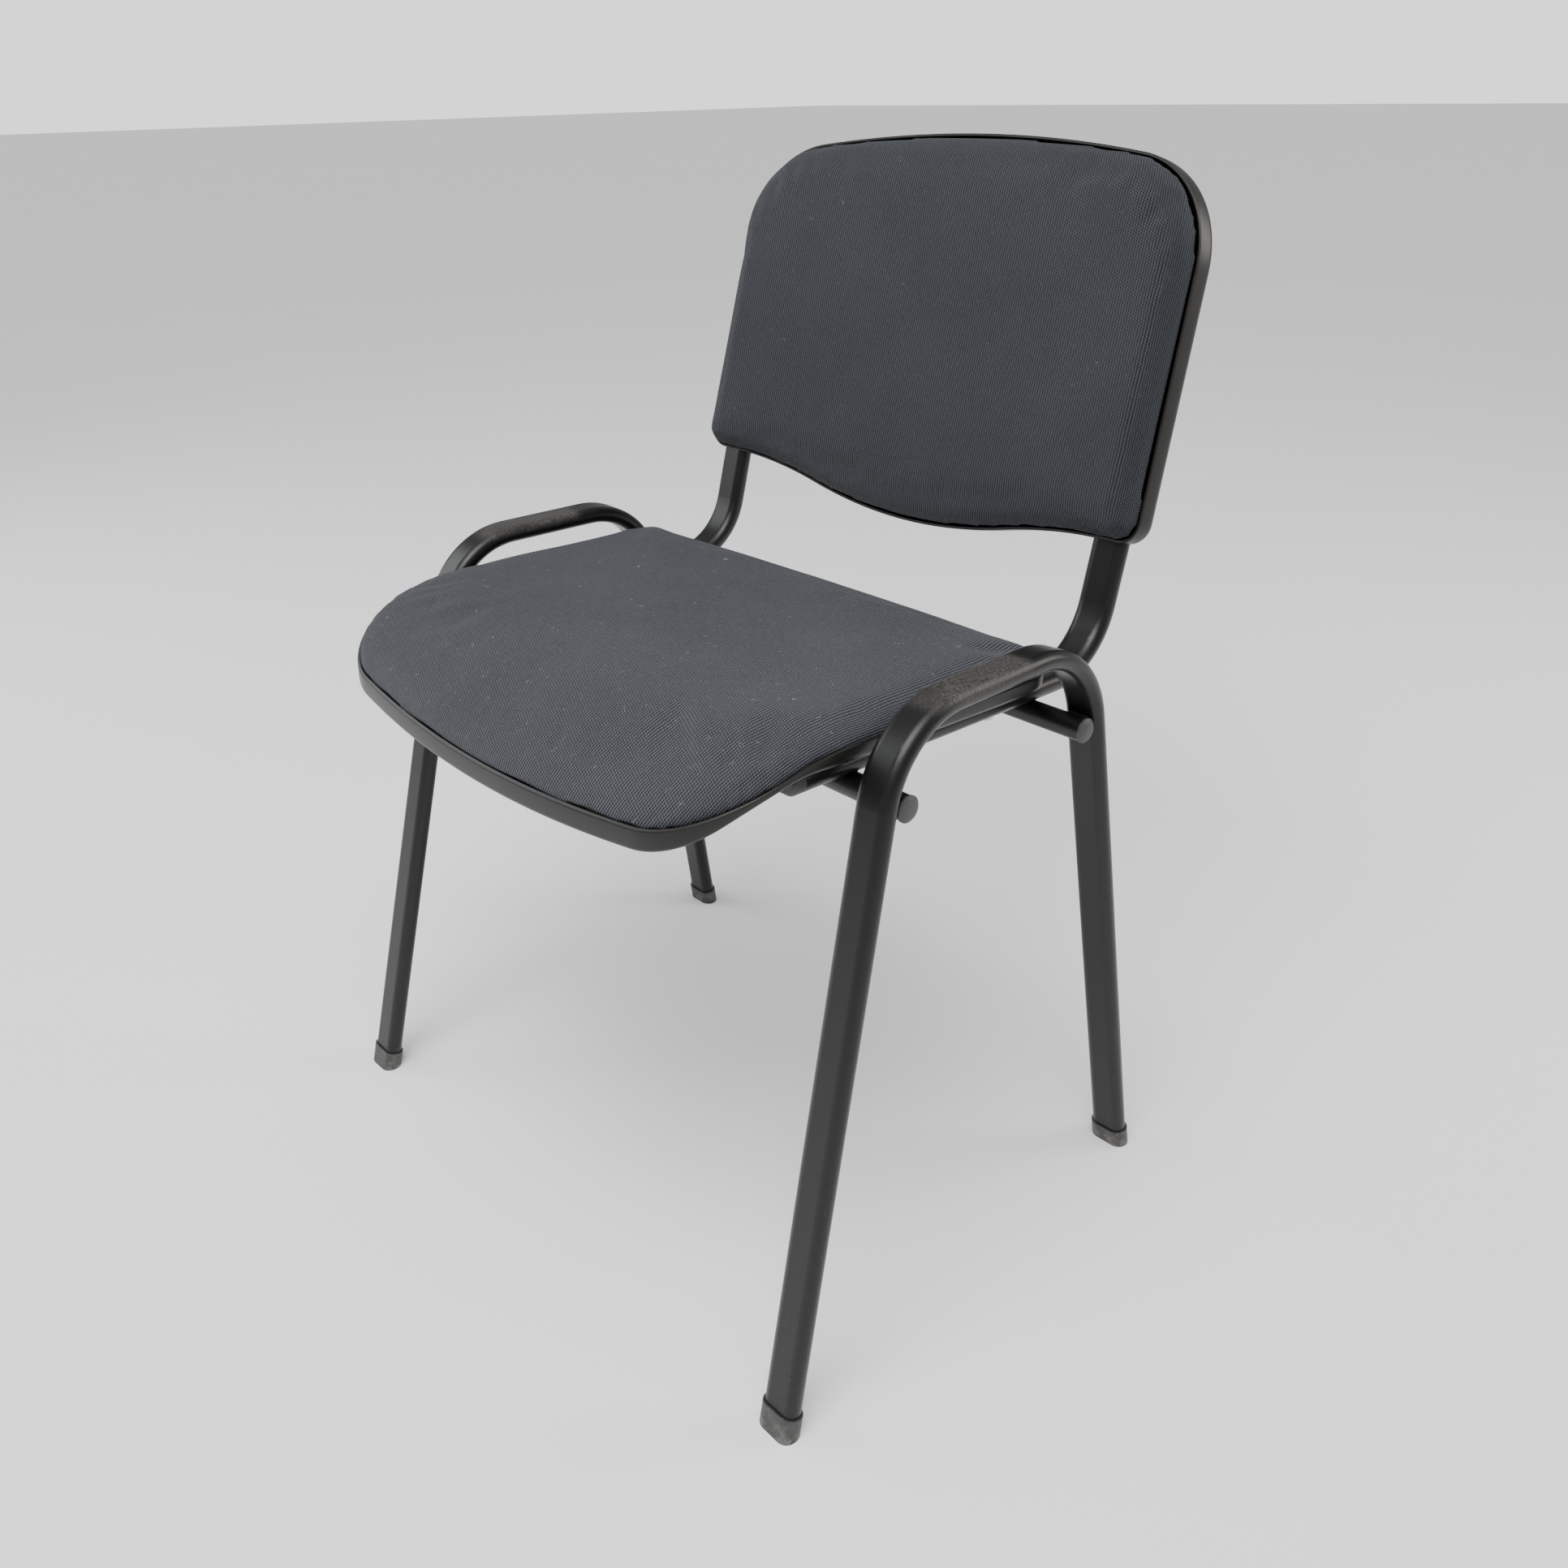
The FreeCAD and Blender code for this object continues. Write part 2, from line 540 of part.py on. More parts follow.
def foot(end, side, sign, foot_y, roll):
    """A plastic cup around the end of a leg, flat on the floor."""
    spot = {"x": f"{sign} * layout.foot_half_spacing", "y": foot_y,
            "roll": roll, "pitch": f"{-sign} * layout.splay"}
    cup = new_body(f"foot_cup_{end}_{side}")
    section = flat_oval(new_sketch(cup, "XY_Plane"), "dims.tube_width + 2 * dims.foot_wall",
                        "dims.tube_thickness + 2 * dims.foot_wall")
    pad(cup, section, "-dims.overrun", "dims.foot_height")
    place(cup, **spot)
    stub = new_body(f"foot_stub_{end}_{side}")
    pad(stub, flat_oval(new_sketch(stub, "XY_Plane"), "dims.tube_width", "dims.tube_thickness"),
        "-dims.overrun", "2 * dims.foot_height")
    place(stub, **spot)
    seated = cut(f"foot_seat_{end}_{side}", stub, below(f"foot_level_{end}_{side}", "dims.foot_sole"))
    hollow = cut(f"foot_hollow_{end}_{side}", cup, seated)
    name = f"foot_{end}_{side}"
    return keep(cut(name, hollow, below(f"foot_floor_{end}_{side}", "0")), name)


def cross_tube(end, y, height):
    """A round tube along X, open at both ends, for a cap."""
    length = "2 * layout.cross_half_length"
    spot = {"x": "-layout.cross_half_length", "y": y, "z": height, "pitch": "90"}
    outer = cylinder(f"cross_outer_{end}", "dims.cross_diameter", length, **spot)
    bore = cylinder(f"cross_bore_{end}", "dims.cross_diameter - 2 * dims.tube_wall", length, **spot)
    name = f"{end}_cross_tube"
    return keep(cut(name, outer, bore), name)


def cross_cap(end, side, sign, y, height):
    """A domed cap: its spigot sits in the cross tube and its rim on the tube's end."""
    spigot = "dims.cross_diameter / 2 - dims.tube_wall - dims.spigot_gap"
    rim = "dims.cross_diameter / 2 + dims.cap_overhang"
    half = f"(({rim} - dims.cap_flat) / 2)"
    dome_radius = f"((pow(2 * {half}; 2) + pow(dims.cap_dome; 2)) / (2 * dims.cap_dome))"
    top = "dims.cap_rim + dims.cap_dome"
    bulge = (f"dims.cap_flat + {half}",
             f"{top} - {dome_radius} + sqrt(pow({dome_radius}; 2) - pow({half}; 2))")
    body = turned(f"cap_{end}_{side}", [
        ("0", "-dims.plug_depth"),
        (spigot, "-dims.plug_depth"),
        (spigot, "0"),
        (rim, "0"),
        (rim, "dims.cap_rim", bulge),
        ("dims.cap_flat", top),
        ("0", top)])
    place(body, f"{sign} * layout.cross_half_length", y, height, pitch=f"{sign} * 90")
    return keep(body, f"{end}_cross_tube_cap_{side}")


def support(side, sign):
    """An L-shaped flat-oval tube: under the seat, then up into the back."""
    reach = "layout.upright_length"
    corners = [("0", "0"), ("dims.support_run", "0"),
               (f"dims.support_run + {reach} * sin(layout.lean_in_seat)",
                f"{reach} * cos(layout.lean_in_seat)")]
    blank = tube(f"support_blank_{side}", "dims.tube_width", "dims.tube_thickness", corners,
                 "dims.support_bend", "XZ_Plane")
    half = "dims.tube_thickness / 2"
    x = f"{sign} * layout.support_half_spacing"
    place(blank, x,
          f"layout.seat_y - dims.support_overhang * cos(dims.seat_tilt) - {half} * sin(dims.seat_tilt)",
          f"layout.seat_height + dims.support_overhang * sin(dims.seat_tilt) - {half} * cos(dims.seat_tilt)",
          roll="-dims.seat_tilt")
    hole = "dims.bolt_diameter + 2 * dims.bolt_clearance"
    seat_holes = [cylinder(f"support_bolt_hole_{row}_{side}", hole, "2 * dims.tube_thickness",
                           x, f"dims.bolt_{row}_row", "-1.5 * dims.tube_thickness")
                  for row in ("front", "rear")]
    under = place_in_seat(compound(f"support_bolt_holes_{side}", seat_holes))
    back_holes = []
    for row, height in (("upper", "dims.screw_upper"), ("lower", "-dims.screw_lower")):
        back_holes.append(cylinder(f"support_screw_hole_{row}_{side}", hole, "2 * dims.tube_thickness",
                                   x, "-layout.back_setback", height, roll="90"))
        back_holes.append(cylinder(f"support_access_{row}_{side}", "dims.access_hole",
                                   "dims.tube_thickness", x, "-layout.back_setback", height, roll="-90"))
    behind = place_in_back(compound(f"support_screw_holes_{side}", back_holes))
    drilled = cut(f"support_drilled_{side}", blank, under)
    name = f"seat_back_support_{side}"
    return keep(cut(name, drilled, behind), name)


def support_plug(side, sign):
    """A plastic plug with a rounded nose in the front end of a support."""
    body = new_body(f"plug_{side}")
    nose = flat_oval(new_sketch(body, "XZ_Plane"), "dims.tube_width", "dims.tube_thickness")
    pad(body, nose, "0", "dims.plug_length")
    round_edges(body, "dims.plug_rounding", lambda shape, edge: edge.BoundBox.YMax < -BESIDE)
    inner = "2 * (dims.tube_wall + dims.spigot_gap)"
    spigot = flat_oval(new_sketch(body, "XZ_Plane"), f"dims.tube_width - {inner}",
                       f"dims.tube_thickness - {inner}")
    pad(body, spigot, "-dims.plug_depth", "0.5 * dims.plug_length")
    place(body, f"{sign} * layout.support_half_spacing", "-dims.support_overhang",
          "-dims.tube_thickness / 2")
    group = compound(f"plug_group_{side}", [body])
    return keep(place_in_seat(group), f"support_plug_{side}")


def bead(name, x, y, z):
    """A short weld bead along X, before the tubes are cut out of it."""
    return cylinder(name, "2 * dims.weld_radius", "dims.weld_length",
                    f"{x} - dims.weld_length / 2", y, z, pitch="90")


def weld_beads():
    """Beads in the grooves where the cross tubes touch the legs and the supports."""
    leg_beads = []
    support_beads = []
    near = "(dims.cross_diameter / 2 + dims.weld_gap - dims.weld_radius / 2)"
    step = "layout.weld_step"
    ends = (("front", "layout.front_cross_y", "layout.cross_height", "layout.front_lean", -1),
            ("rear", "layout.rear_cross_y", "layout.rear_cross_height", "layout.rear_lean", 1))
    for end, y, height, lean, toward in ends:
        for side, sign in SIDES:
            leg_x = f"{sign} * (layout.foot_half_spacing - ({height}) * tan(layout.splay))"
            rest_x = f"{sign} * layout.support_half_spacing"
            for place_name, way in (("over", 1), ("under", -1)):
                leg_beads.append(bead(
                    f"leg_bead_{end}_{side}_{place_name}", leg_x,
                    f"{y} + {toward} * {near} * cos({lean}) - {toward * way} * {step} * sin({lean})",
                    f"{height} + {near} * sin({lean}) + {way} * {step} * cos({lean})"))
                support_beads.append(bead(
                    f"support_bead_{end}_{side}_{place_name}", rest_x,
                    f"{y} + {near} * sin(dims.seat_tilt) + {way} * {step} * cos(dims.seat_tilt)",
                    f"{height} + {near} * cos(dims.seat_tilt) - {way} * {step} * sin(dims.seat_tilt)"))
    tubes = {part.Label: part for part in parts}
    crossings = [tubes["front_cross_tube"], tubes["rear_cross_tube"]]
    legs = [tubes["side_frame_left"], tubes["side_frame_right"]]
    rests = [tubes["seat_back_support_left"], tubes["seat_back_support_right"]]
    for node, beads, others in (("leg_weld_beads", leg_beads, legs),
                                ("support_weld_beads", support_beads, rests)):
        blank = compound(node + "_blank", beads)
        keep(cut(node, blank, compound(node + "_tubes", crossings + others)), node)


# ---------------------------------------------------------------- seat

def floor_side(body, limit, above):
    """What lies above (1) or below (-1) a face that follows the pan's floor: flat over the
    supports, then bent down about one centre, then straight to the front edge."""
    bend = f"(dims.floor_radius + ({limit}))"
    start = "(-dims.floor_start)"
    end_y = f"({start} - {bend} * sin(dims.floor_slope))"
    end_z = f"(({limit}) - {bend} * (1 - cos(dims.floor_slope)))"
    tip_y = f"({end_y} - dims.seat_front * cos(dims.floor_slope))"
    tip_z = f"({end_z} - dims.seat_front * sin(dims.floor_slope))"
    far = f"{above} * 2 * dims.seat_front"
    half_y = f"{start} - {bend} * sin(dims.floor_slope / 2)"
    half_z = f"({limit}) - {bend} * (1 - cos(dims.floor_slope / 2))"
    return closed(new_sketch(body, "YZ_Plane"), [
        ("dims.seat_rear + dims.overrun", far),
        ("dims.seat_rear + dims.overrun", limit),
        (start, limit, (half_y, half_z)),
        (end_y, end_z), (tip_y, tip_z), (tip_y, far)])


def seat_layer(name, inset, low, high, rounding=None, rounded=1, board_like=False):
    """A layer of the seat: the outline, inset, between two heights above the supports.
    Its lower face follows the pan's floor.  Its upper face follows the rim, which runs flat to
    the waterfall and bends down there, or the floor too if the layer is board-like."""
    body = new_body(name)
    front = f"(-dims.seat_front + ({inset}))"
    rear = f"(dims.seat_rear - ({inset}))"
    front_half = f"(layout.seat_front_half_width - ({inset}))"
    rear_half = f"(layout.seat_rear_half_width - ({inset}))"
    waist = f"(({front_half} + {rear_half}) / 2 + dims.seat_side_bow)"
    waist_y = f"({front} + dims.seat_front_bow + {rear} - dims.seat_rear_bow) / 2"
    outline = closed(new_sketch(body, "XY_Plane"), [
        (f"-{front_half}", f"{front} + dims.seat_front_bow", ("0", front)),
        (front_half, f"{front} + dims.seat_front_bow", (waist, waist_y)),
        (rear_half, f"{rear} - dims.seat_rear_bow", ("0", rear)),
        (f"-{rear_half}", f"{rear} - dims.seat_rear_bow", (f"-{waist}", waist_y))])
    pad(body, outline, "-dims.seat_front", "4 * dims.seat_crown")
    for corner, at_front in (("front", True), ("rear", False)):
        round_edges(body, f"dims.seat_{corner}_corner - ({inset})",
                    lambda shape, edge: along(edge, Z_AXIS) and (edge.CenterOfMass.y < 0) == at_front)
    pocket_all(body, floor_side(body, low, -1))
    if board_like:
        pocket_all(body, floor_side(body, high, 1))
    else:
        bend = f"(dims.waterfall_radius - dims.pan_depth + ({high}))"
        start = "(-dims.waterfall_start)"
        reach = "(dims.seat_front + dims.overrun)"
        drop = f"({bend} - sqrt(pow({bend}; 2) - pow({reach}; 2)))"
        middle = f"({bend} - sqrt(pow({bend}; 2) - pow({reach} / 2; 2)))"
        far = "2 * dims.seat_front"
        pocket_all(body, closed(new_sketch(body, "YZ_Plane"), [
            ("dims.seat_rear + dims.overrun", far),
            ("dims.seat_rear + dims.overrun", high),
            (start, high, (f"{start} - {reach} / 2", f"({high}) - {middle}")),
            (f"{start} - {reach}", f"({high}) - {drop}"),
            (f"{start} - {reach}", far)]))
    if rounding:
        direction = Z_AXIS * rounded
        round_edges(body, rounding, lambda shape, edge: rims_a_face(shape, edge, direction))
    return body


def seat_holes(name, diameter, low, high):
    """Four cylinders on the seat bolts' axes, in the seat's frame."""
    holes = []
    for side, sign in SIDES:
        for row in ("front", "rear"):
            holes.append(cylinder(f"{name}_{row}_{side}", diameter, f"({high}) - ({low})",
                                  f"{sign} * layout.support_half_spacing", f"dims.bolt_{row}_row", low))
    return compound(name, holes)


def seat():
    rim = "dims.pan_depth"
    top = "(dims.pan_depth + dims.seat_crown)"
    floor = "dims.pan_wall"
    hem = "(dims.pan_wall + dims.cover_thickness)"
    clear = "dims.bolt_diameter + 2 * dims.bolt_clearance"
    tray = cut("pan_tray", seat_layer("pan_outer", "0", "0", rim, "dims.pan_rounding", -1),
               seat_layer("pan_inner", "dims.pan_wall", floor, f"{top} + dims.overrun"))
    channel_width = "(dims.tube_width + 2 * dims.channel_gap)"
    channel_end = "(dims.support_overhang + dims.plug_length + dims.channel_gap)"
    channels = [box(f"pan_channel_{side}", channel_width, channel_end, "dims.overrun",
                    f"{sign} * layout.support_half_spacing - {channel_width} / 2",
                    f"-{channel_end}", "-dims.overrun") for side, sign in SIDES]
    holes = seat_holes("pan_holes", clear, "-dims.overrun", hem)
    channelled = cut("pan_channelled", tray, compound("pan_channels", channels))
    keep(place_in_seat(cut("seat_pan", channelled, holes)), "seat_pan")

    board = seat_layer("ply_blank", "layout.ply_inset + dims.ply_shy", hem, "layout.ply_top", board_like=True)
    barrel = seat_holes("ply_barrels", "dims.nut_barrel + 2 * dims.nut_gap", "0", f"{top}")
    recess = seat_holes("ply_recesses", "dims.nut_flange + 2 * dims.nut_gap",
                        "layout.ply_top - dims.nut_sink", top)
    drilled = cut("ply_drilled", board, barrel)
    keep(place_in_seat(cut("seat_plywood", drilled, recess)), "seat_plywood")

    foam_top = f"({top} - dims.cover_thickness)"
    foam_rounding = "dims.cushion_rounding - dims.cover_thickness"
    block = seat_layer("foam_block", "layout.ply_inset", hem, foam_top, foam_rounding)
    under = seat_layer("foam_underside", "layout.ply_inset - dims.cover_thickness", "-dims.overrun",
                       "layout.ply_top", board_like=True)
    keep(place_in_seat(cut("seat_foam", block, under)), "seat_foam")

    bag = seat_layer("cover_outer", "layout.pad_inset", floor, top, "dims.cushion_rounding")
    filling = seat_layer("cover_inner", "layout.ply_inset", hem, foam_top, foam_rounding)
    mouth = seat_layer("cover_mouth", "layout.ply_inset + dims.cover_hem", "-dims.overrun", "layout.ply_top",
                       board_like=True)
    skin = cut("cover_skin", bag, filling)
    open_skin = cut("cover_open", skin, mouth)
    bores = seat_holes("cover_bores", "dims.nut_barrel + 2 * dims.nut_gap", "0", "layout.ply_top")
    keep(place_in_seat(cut("seat_cover", open_skin, bores)), "seat_cover")


def hexagon_bolt(name, x, y):
    """A hexagon-head bolt, head down, its shank along local Z through the washer."""
    body = new_body(name)
    half = "dims.bolt_head_across / 2"
    point = f"({half} / cos(30))"
    head = closed(new_sketch(body, "XY_Plane"), [
        (point, "0"), (f"{point} / 2", half), (f"-{point} / 2", half),
        (f"-{point}", "0"), (f"-{point} / 2", f"-{half}"), (f"{point} / 2", f"-{half}")])
    pad(body, head, "-dims.bolt_head_height", "0")
    shank = circles(new_sketch(body, "XY_Plane"), [("0", "0")], "dims.bolt_diameter")
    length = "dims.washer_thickness + dims.tube_thickness + layout.ply_top - dims.nut_flange_thickness"
    pad(body, shank, "-dims.bolt_head_height / 2", length)
    return place(body, x, y, "-dims.tube_thickness - dims.washer_thickness")


def t_nut(name, barrel_length):
    """A T-nut: a flange at local zero and a barrel below it, bored for the bolt."""
    bore = "dims.bolt_diameter / 2 + dims.nut_gap"
    barrel = "dims.nut_barrel / 2"
    flange = "dims.nut_flange / 2"
    return turned(name, [
        (bore, f"-({barrel_length})"), (barrel, f"-({barrel_length})"), (barrel, "0"),
        (flange, "0"), (flange, "dims.nut_flange_thickness"), (bore, "dims.nut_flange_thickness")])


def seat_fasteners():
    bolts = []
    washers = []
    nuts = []
    for side, sign in SIDES:
        for row in ("front", "rear"):
            x = f"{sign} * layout.support_half_spacing"
            y = f"dims.bolt_{row}_row"
            bolts.append(hexagon_bolt(f"bolt_{row}_{side}", x, y))
            inner = "dims.bolt_diameter / 2 + dims.nut_gap"
            outer = "dims.washer_diameter / 2"
            washer = turned(f"washer_{row}_{side}", [
                (inner, "0"), (outer, "0"), (outer, "dims.washer_thickness"),
                (inner, "dims.washer_thickness")])
            washers.append(place(washer, x, y, "-dims.tube_thickness - dims.washer_thickness"))
            nut = t_nut(f"nut_{row}_{side}", "dims.seat_ply - dims.nut_sink")
            nuts.append(place(nut, x, y, "layout.ply_top - dims.nut_sink"))
    for node, members in (("seat_bolts", bolts), ("seat_washers", washers), ("seat_t_nuts", nuts)):
        keep(place_in_seat(compound(node, members)), node)


# ---------------------------------------------------------------- back

def back_outline(sketch, inset):
    """The back's outline, inset.  The hanging edge is an arc between two reversed ones."""
    top = f"(dims.back_top - ({inset}))"
    shoulder = f"({top} - dims.back_top_bow)"
    bottom = f"(-dims.back_bottom + ({inset}))"
    top_half = f"(layout.back_top_half_width - ({inset}))"
    bottom_half = f"(layout.back_bottom_half_width - ({inset}))"
    turn = "(layout.tongue_end / 2)"
    waist = f"({bottom} - dims.back_tongue / 2)"
    quarter = f"{bottom} - layout.tongue_quarter"
    return closed(sketch, [
        (f"-{top_half}", shoulder, ("0", top)),
        (top_half, shoulder),
        (bottom_half, bottom),
        ("layout.tongue_end", bottom, (f"1.5 * {turn}", quarter)),
        (turn, waist, ("0", f"{bottom} - dims.back_tongue")),
        (f"-{turn}", waist, (f"-1.5 * {turn}", quarter)),
        ("-layout.tongue_end", bottom),
        (f"-{bottom_half}", bottom)])


def hem_outline(sketch, inset):
    """A plain rectangle inside the back, where the cloth's hem ends."""
    half = f"(layout.back_top_half_width - ({inset}))"
    top = f"dims.back_top - dims.back_top_bow - ({inset})"
    bottom = f"-dims.back_bottom + ({inset})"
    return closed(sketch, [(f"-{half}", bottom), (half, bottom), (half, top), (f"-{half}", top)])


def round_back_corners(body, inset):
    """Round the four corners that stand along Y; the hanging edge's joints stay."""
    beyond = value("layout.tongue_end") + BESIDE
    for corner, at_top in (("top", True), ("bottom", False)):
        round_edges(body, f"dims.back_{corner}_corner - ({inset})",
                    lambda shape, edge: along(edge, Y_AXIS) and abs(edge.CenterOfMass.x) > beyond
                    and (edge.CenterOfMass.z > 0) == at_top)


def back_layer(name, inset, rear, front, rounding=None, rounded=-1, hem=False):
    """A layer of the back: an outline, inset, between two distances in front of the rim.
    Both faces bend about one axis in front of the back."""
    body = new_body(name)
    outline = (hem_outline if hem else back_outline)(new_sketch(body, "XZ_Plane"), inset)
    pad(body, outline, "-4 * layout.shell_depth", "4 * layout.shell_depth")
    if not hem:
        round_back_corners(body, inset)
    half = "(layout.back_bottom_half_width + dims.overrun)"
    for limit, way in ((front, -1), (rear, 1)):
        radius = f"(dims.back_curve - ({limit}))"
        sag = f"({radius} - sqrt(pow({radius}; 2) - pow({half}; 2)))"
        far = f"{way} * 5 * layout.shell_depth"
        across = closed(new_sketch(body, "XY_Plane"), [
            (f"-{half}", f"-({limit}) - {sag}", ("0", f"-({limit})")),
            (half, f"-({limit}) - {sag}"),
            (half, far),
            (f"-{half}", far)])
        pocket_all(body, across)
    if rounding:
        direction = Y_AXIS * rounded
        round_edges(body, rounding, lambda shape, edge: rims_a_face(shape, edge, direction))
    return body


def back_holes(name, diameter, spots, near, length):
    """Cylinders from a depth behind the rim's middle towards the sitter, in the back's frame."""
    holes = [cylinder(f"{name}_{index}", diameter, length, x, near, z, roll="90")
             for index, (x, z) in enumerate(spots)]
    return compound(name, holes)


def back_spots(half, heights):
    return [(f"{sign} * {half}", height) for side, sign in SIDES for height in heights]


def back():
    screws = back_spots("layout.support_half_spacing", ("dims.screw_upper", "-dims.screw_lower"))
    clips = back_spots("dims.clip_half_spacing", ("dims.clip_height", "-dims.clip_height"))
    deep = "4 * layout.shell_depth"

    tray = cut("shell_tray",
               back_layer("shell_outer", "0", "-layout.shell_depth", "0", "dims.shell_rounding", 1),
               back_layer("shell_inner", "dims.pan_wall", "dims.pan_wall - layout.shell_depth", "layout.shell_depth",
                          "dims.shell_rounding - dims.pan_wall", 1))
    slots = []
    for side, sign in SIDES:
        slot = new_body(f"shell_slot_{side}")
        half_width = "(dims.tube_width / 2 + dims.shell_slot_gap)"
        rear = "(dims.tube_thickness / 2 + dims.shell_slot_gap)"
        mouth = closed(new_sketch(slot, "XY_Plane"), [
            (f"-{half_width}", "-layout.shell_depth"), (half_width, "-layout.shell_depth"),
            (half_width, rear), (f"-{half_width}", rear)])
        pad(slot, mouth, "-2 * dims.back_bottom", "-dims.back_bottom + dims.back_bottom_corner")
        slots.append(place(slot, f"{sign} * layout.support_half_spacing", "-layout.back_setback"))
    keep(place_in_back(cut("back_shell", tray, compound("shell_slots", slots))), "back_shell")

    board = back_layer("back_ply_blank", "layout.ply_inset", "layout.back_ply_rear", "layout.back_ply_front")
    drilled = cut("back_ply_drilled", board, compound("back_ply_bores", [
        back_holes("back_ply_barrels", "dims.nut_barrel + 2 * dims.nut_gap", screws, "0", deep),
        back_holes("back_ply_clips", "dims.clip_diameter + 2 * dims.nut_gap", clips, "0", deep)]))
    recess = back_holes("back_ply_recesses", "dims.nut_flange + 2 * dims.nut_gap", screws,
                        "-(layout.nut_seat)", deep)
    keep(place_in_back(cut("back_plywood", drilled, recess)), "back_plywood")

    foam_front = "(dims.back_crown - dims.cover_thickness)"
    foam = back_layer("back_foam_block", "layout.ply_inset", "layout.back_ply_front", foam_front,
                      "layout.back_foam_rounding")
    pockets = back_holes("back_foam_pockets", "dims.clip_diameter + 2 * (dims.clip_barb + dims.nut_gap)",
                         clips, "0", "(layout.clip_sag + layout.back_ply_front"
                                     " + 2 * (dims.clip_barb + dims.nut_gap))")
    keep(place_in_back(cut("back_foam", foam, pockets)), "back_foam")

    bag = back_layer("back_cover_outer", "layout.pad_inset", "dims.back_seat_gap", "dims.back_crown",
                     "layout.back_foam_rounding + dims.cover_thickness")
    filling = back_layer("back_cover_inner", "layout.ply_inset", "layout.back_ply_rear", foam_front,
                         "layout.back_foam_rounding")
    mouth = back_layer("back_cover_mouth", "layout.ply_inset + dims.cover_hem", "-layout.shell_depth",
                       "layout.back_ply_front", hem=True)
    skin = cut("back_cover_skin", bag, filling)
    open_skin = cut("back_cover_open", skin, mouth)
    bores = back_holes("back_cover_bores", "dims.nut_barrel + 2 * dims.nut_gap", screws,
                       "0", "layout.nut_seat")
    keep(place_in_back(cut("back_cover", open_skin, bores)), "back_cover")


def back_fasteners():
    """Screws whose heads sit inside the uprights, their T-nuts, and the shell's clips."""
    screws = []
    nuts = []
    clips = []
    bearing = "-(layout.back_setback + dims.tube_thickness / 2 - dims.tube_wall)"
    for side, sign in SIDES:
        x = f"{sign} * layout.support_half_spacing"
        for row, height in (("upper", "dims.screw_upper"), ("lower", "-dims.screw_lower")):
            shank = "dims.bolt_diameter / 2"
            head = "dims.screw_head / 2"
            length = f"(layout.nut_seat + {bearing})"
            screw = turned(f"screw_{row}_{side}", [
                ("0", "-dims.screw_head_height"), (head, "-dims.screw_head_height"),
                (head, "0"), (shank, "0"), (shank, length), ("0", length)])
            screws.append(place(screw, x, bearing, height, roll="90"))
            nut = t_nut(f"back_nut_{row}_{side}", "dims.back_ply - dims.back_nut_sink - dims.barrel_short")
            nuts.append(place(nut, x, "-(layout.nut_seat)", height, roll="90"))
        for row, height in (("upper", "dims.clip_height"), ("lower", "-dims.clip_height")):
            stem = "dims.clip_diameter / 2"
            barb = f"({stem} + dims.clip_barb)"
            flange = "dims.clip_flange / 2"
            # the barbs lie in front of the plywood, so the stem can't pull out
            seat_depth = "(layout.clip_flat - layout.clip_sag)"
            front = f"({seat_depth} + layout.clip_sag + layout.back_ply_front + dims.nut_gap)"
            clip = turned(f"clip_{row}_{side}", [
                ("0", "0"), (flange, "0"), (flange, "dims.pan_wall"), (stem, "dims.pan_wall"),
                (stem, front), (barb, front), (stem, f"{front} + 2 * dims.clip_barb"),
                ("0", f"{front} + 2 * dims.clip_barb")])
            clips.append(place(clip, f"{sign} * dims.clip_half_spacing", seat_depth, height, roll="90"))
    for node, members in (("back_screws", screws), ("back_t_nuts", nuts), ("shell_clips", clips)):
        keep(place_in_back(compound(node, members)), node)


# ---------------------------------------------------------------- assembly

for side, sign in SIDES:
    side_frame(side, sign)
cross_tube("front", "layout.front_cross_y", "layout.cross_height")
cross_tube("rear", "layout.rear_cross_y", "layout.rear_cross_height")
for side, sign in SIDES:
    cross_cap("front", side, sign, "layout.front_cross_y", "layout.cross_height")
    cross_cap("rear", side, sign, "layout.rear_cross_y", "layout.rear_cross_height")
    foot("front", side, sign, "dims.front_foot_y", "-layout.front_lean")
    foot("rear", side, sign, "dims.rear_foot_y", "layout.rear_lean")
    support(side, sign)
    support_plug(side, sign)
weld_beads()
seat()
seat_fasteners()
back()
back_fasteners()

doc.recompute()
for thing in doc.Objects:
    if "Invalid" in thing.State or "Error" in thing.State:
        raise RuntimeError(f"{thing.Label} failed: {thing.State}")
os.makedirs("parts", exist_ok=True)
for part in parts:
    shape = part.Shape
    if shape.isNull() or not shape.isValid():
        raise RuntimeError(f"{part.Label} has no valid shape")
    shape.exportStep(f"parts/{part.Label}.step")
    print(part.Label, "solids", len(shape.Solids), "volume", round(shape.Volume))
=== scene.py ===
"""Stacking chair: black oval-tube frame, cloth seat in a plastic pan, cloth back in a plastic shell.

Metres, in the frame's own axes: +Z up, the sitter faces -Y, +X is the sitter's left.
"""
import math

import bpy
import numpy as np
from mathutils import Matrix, Vector


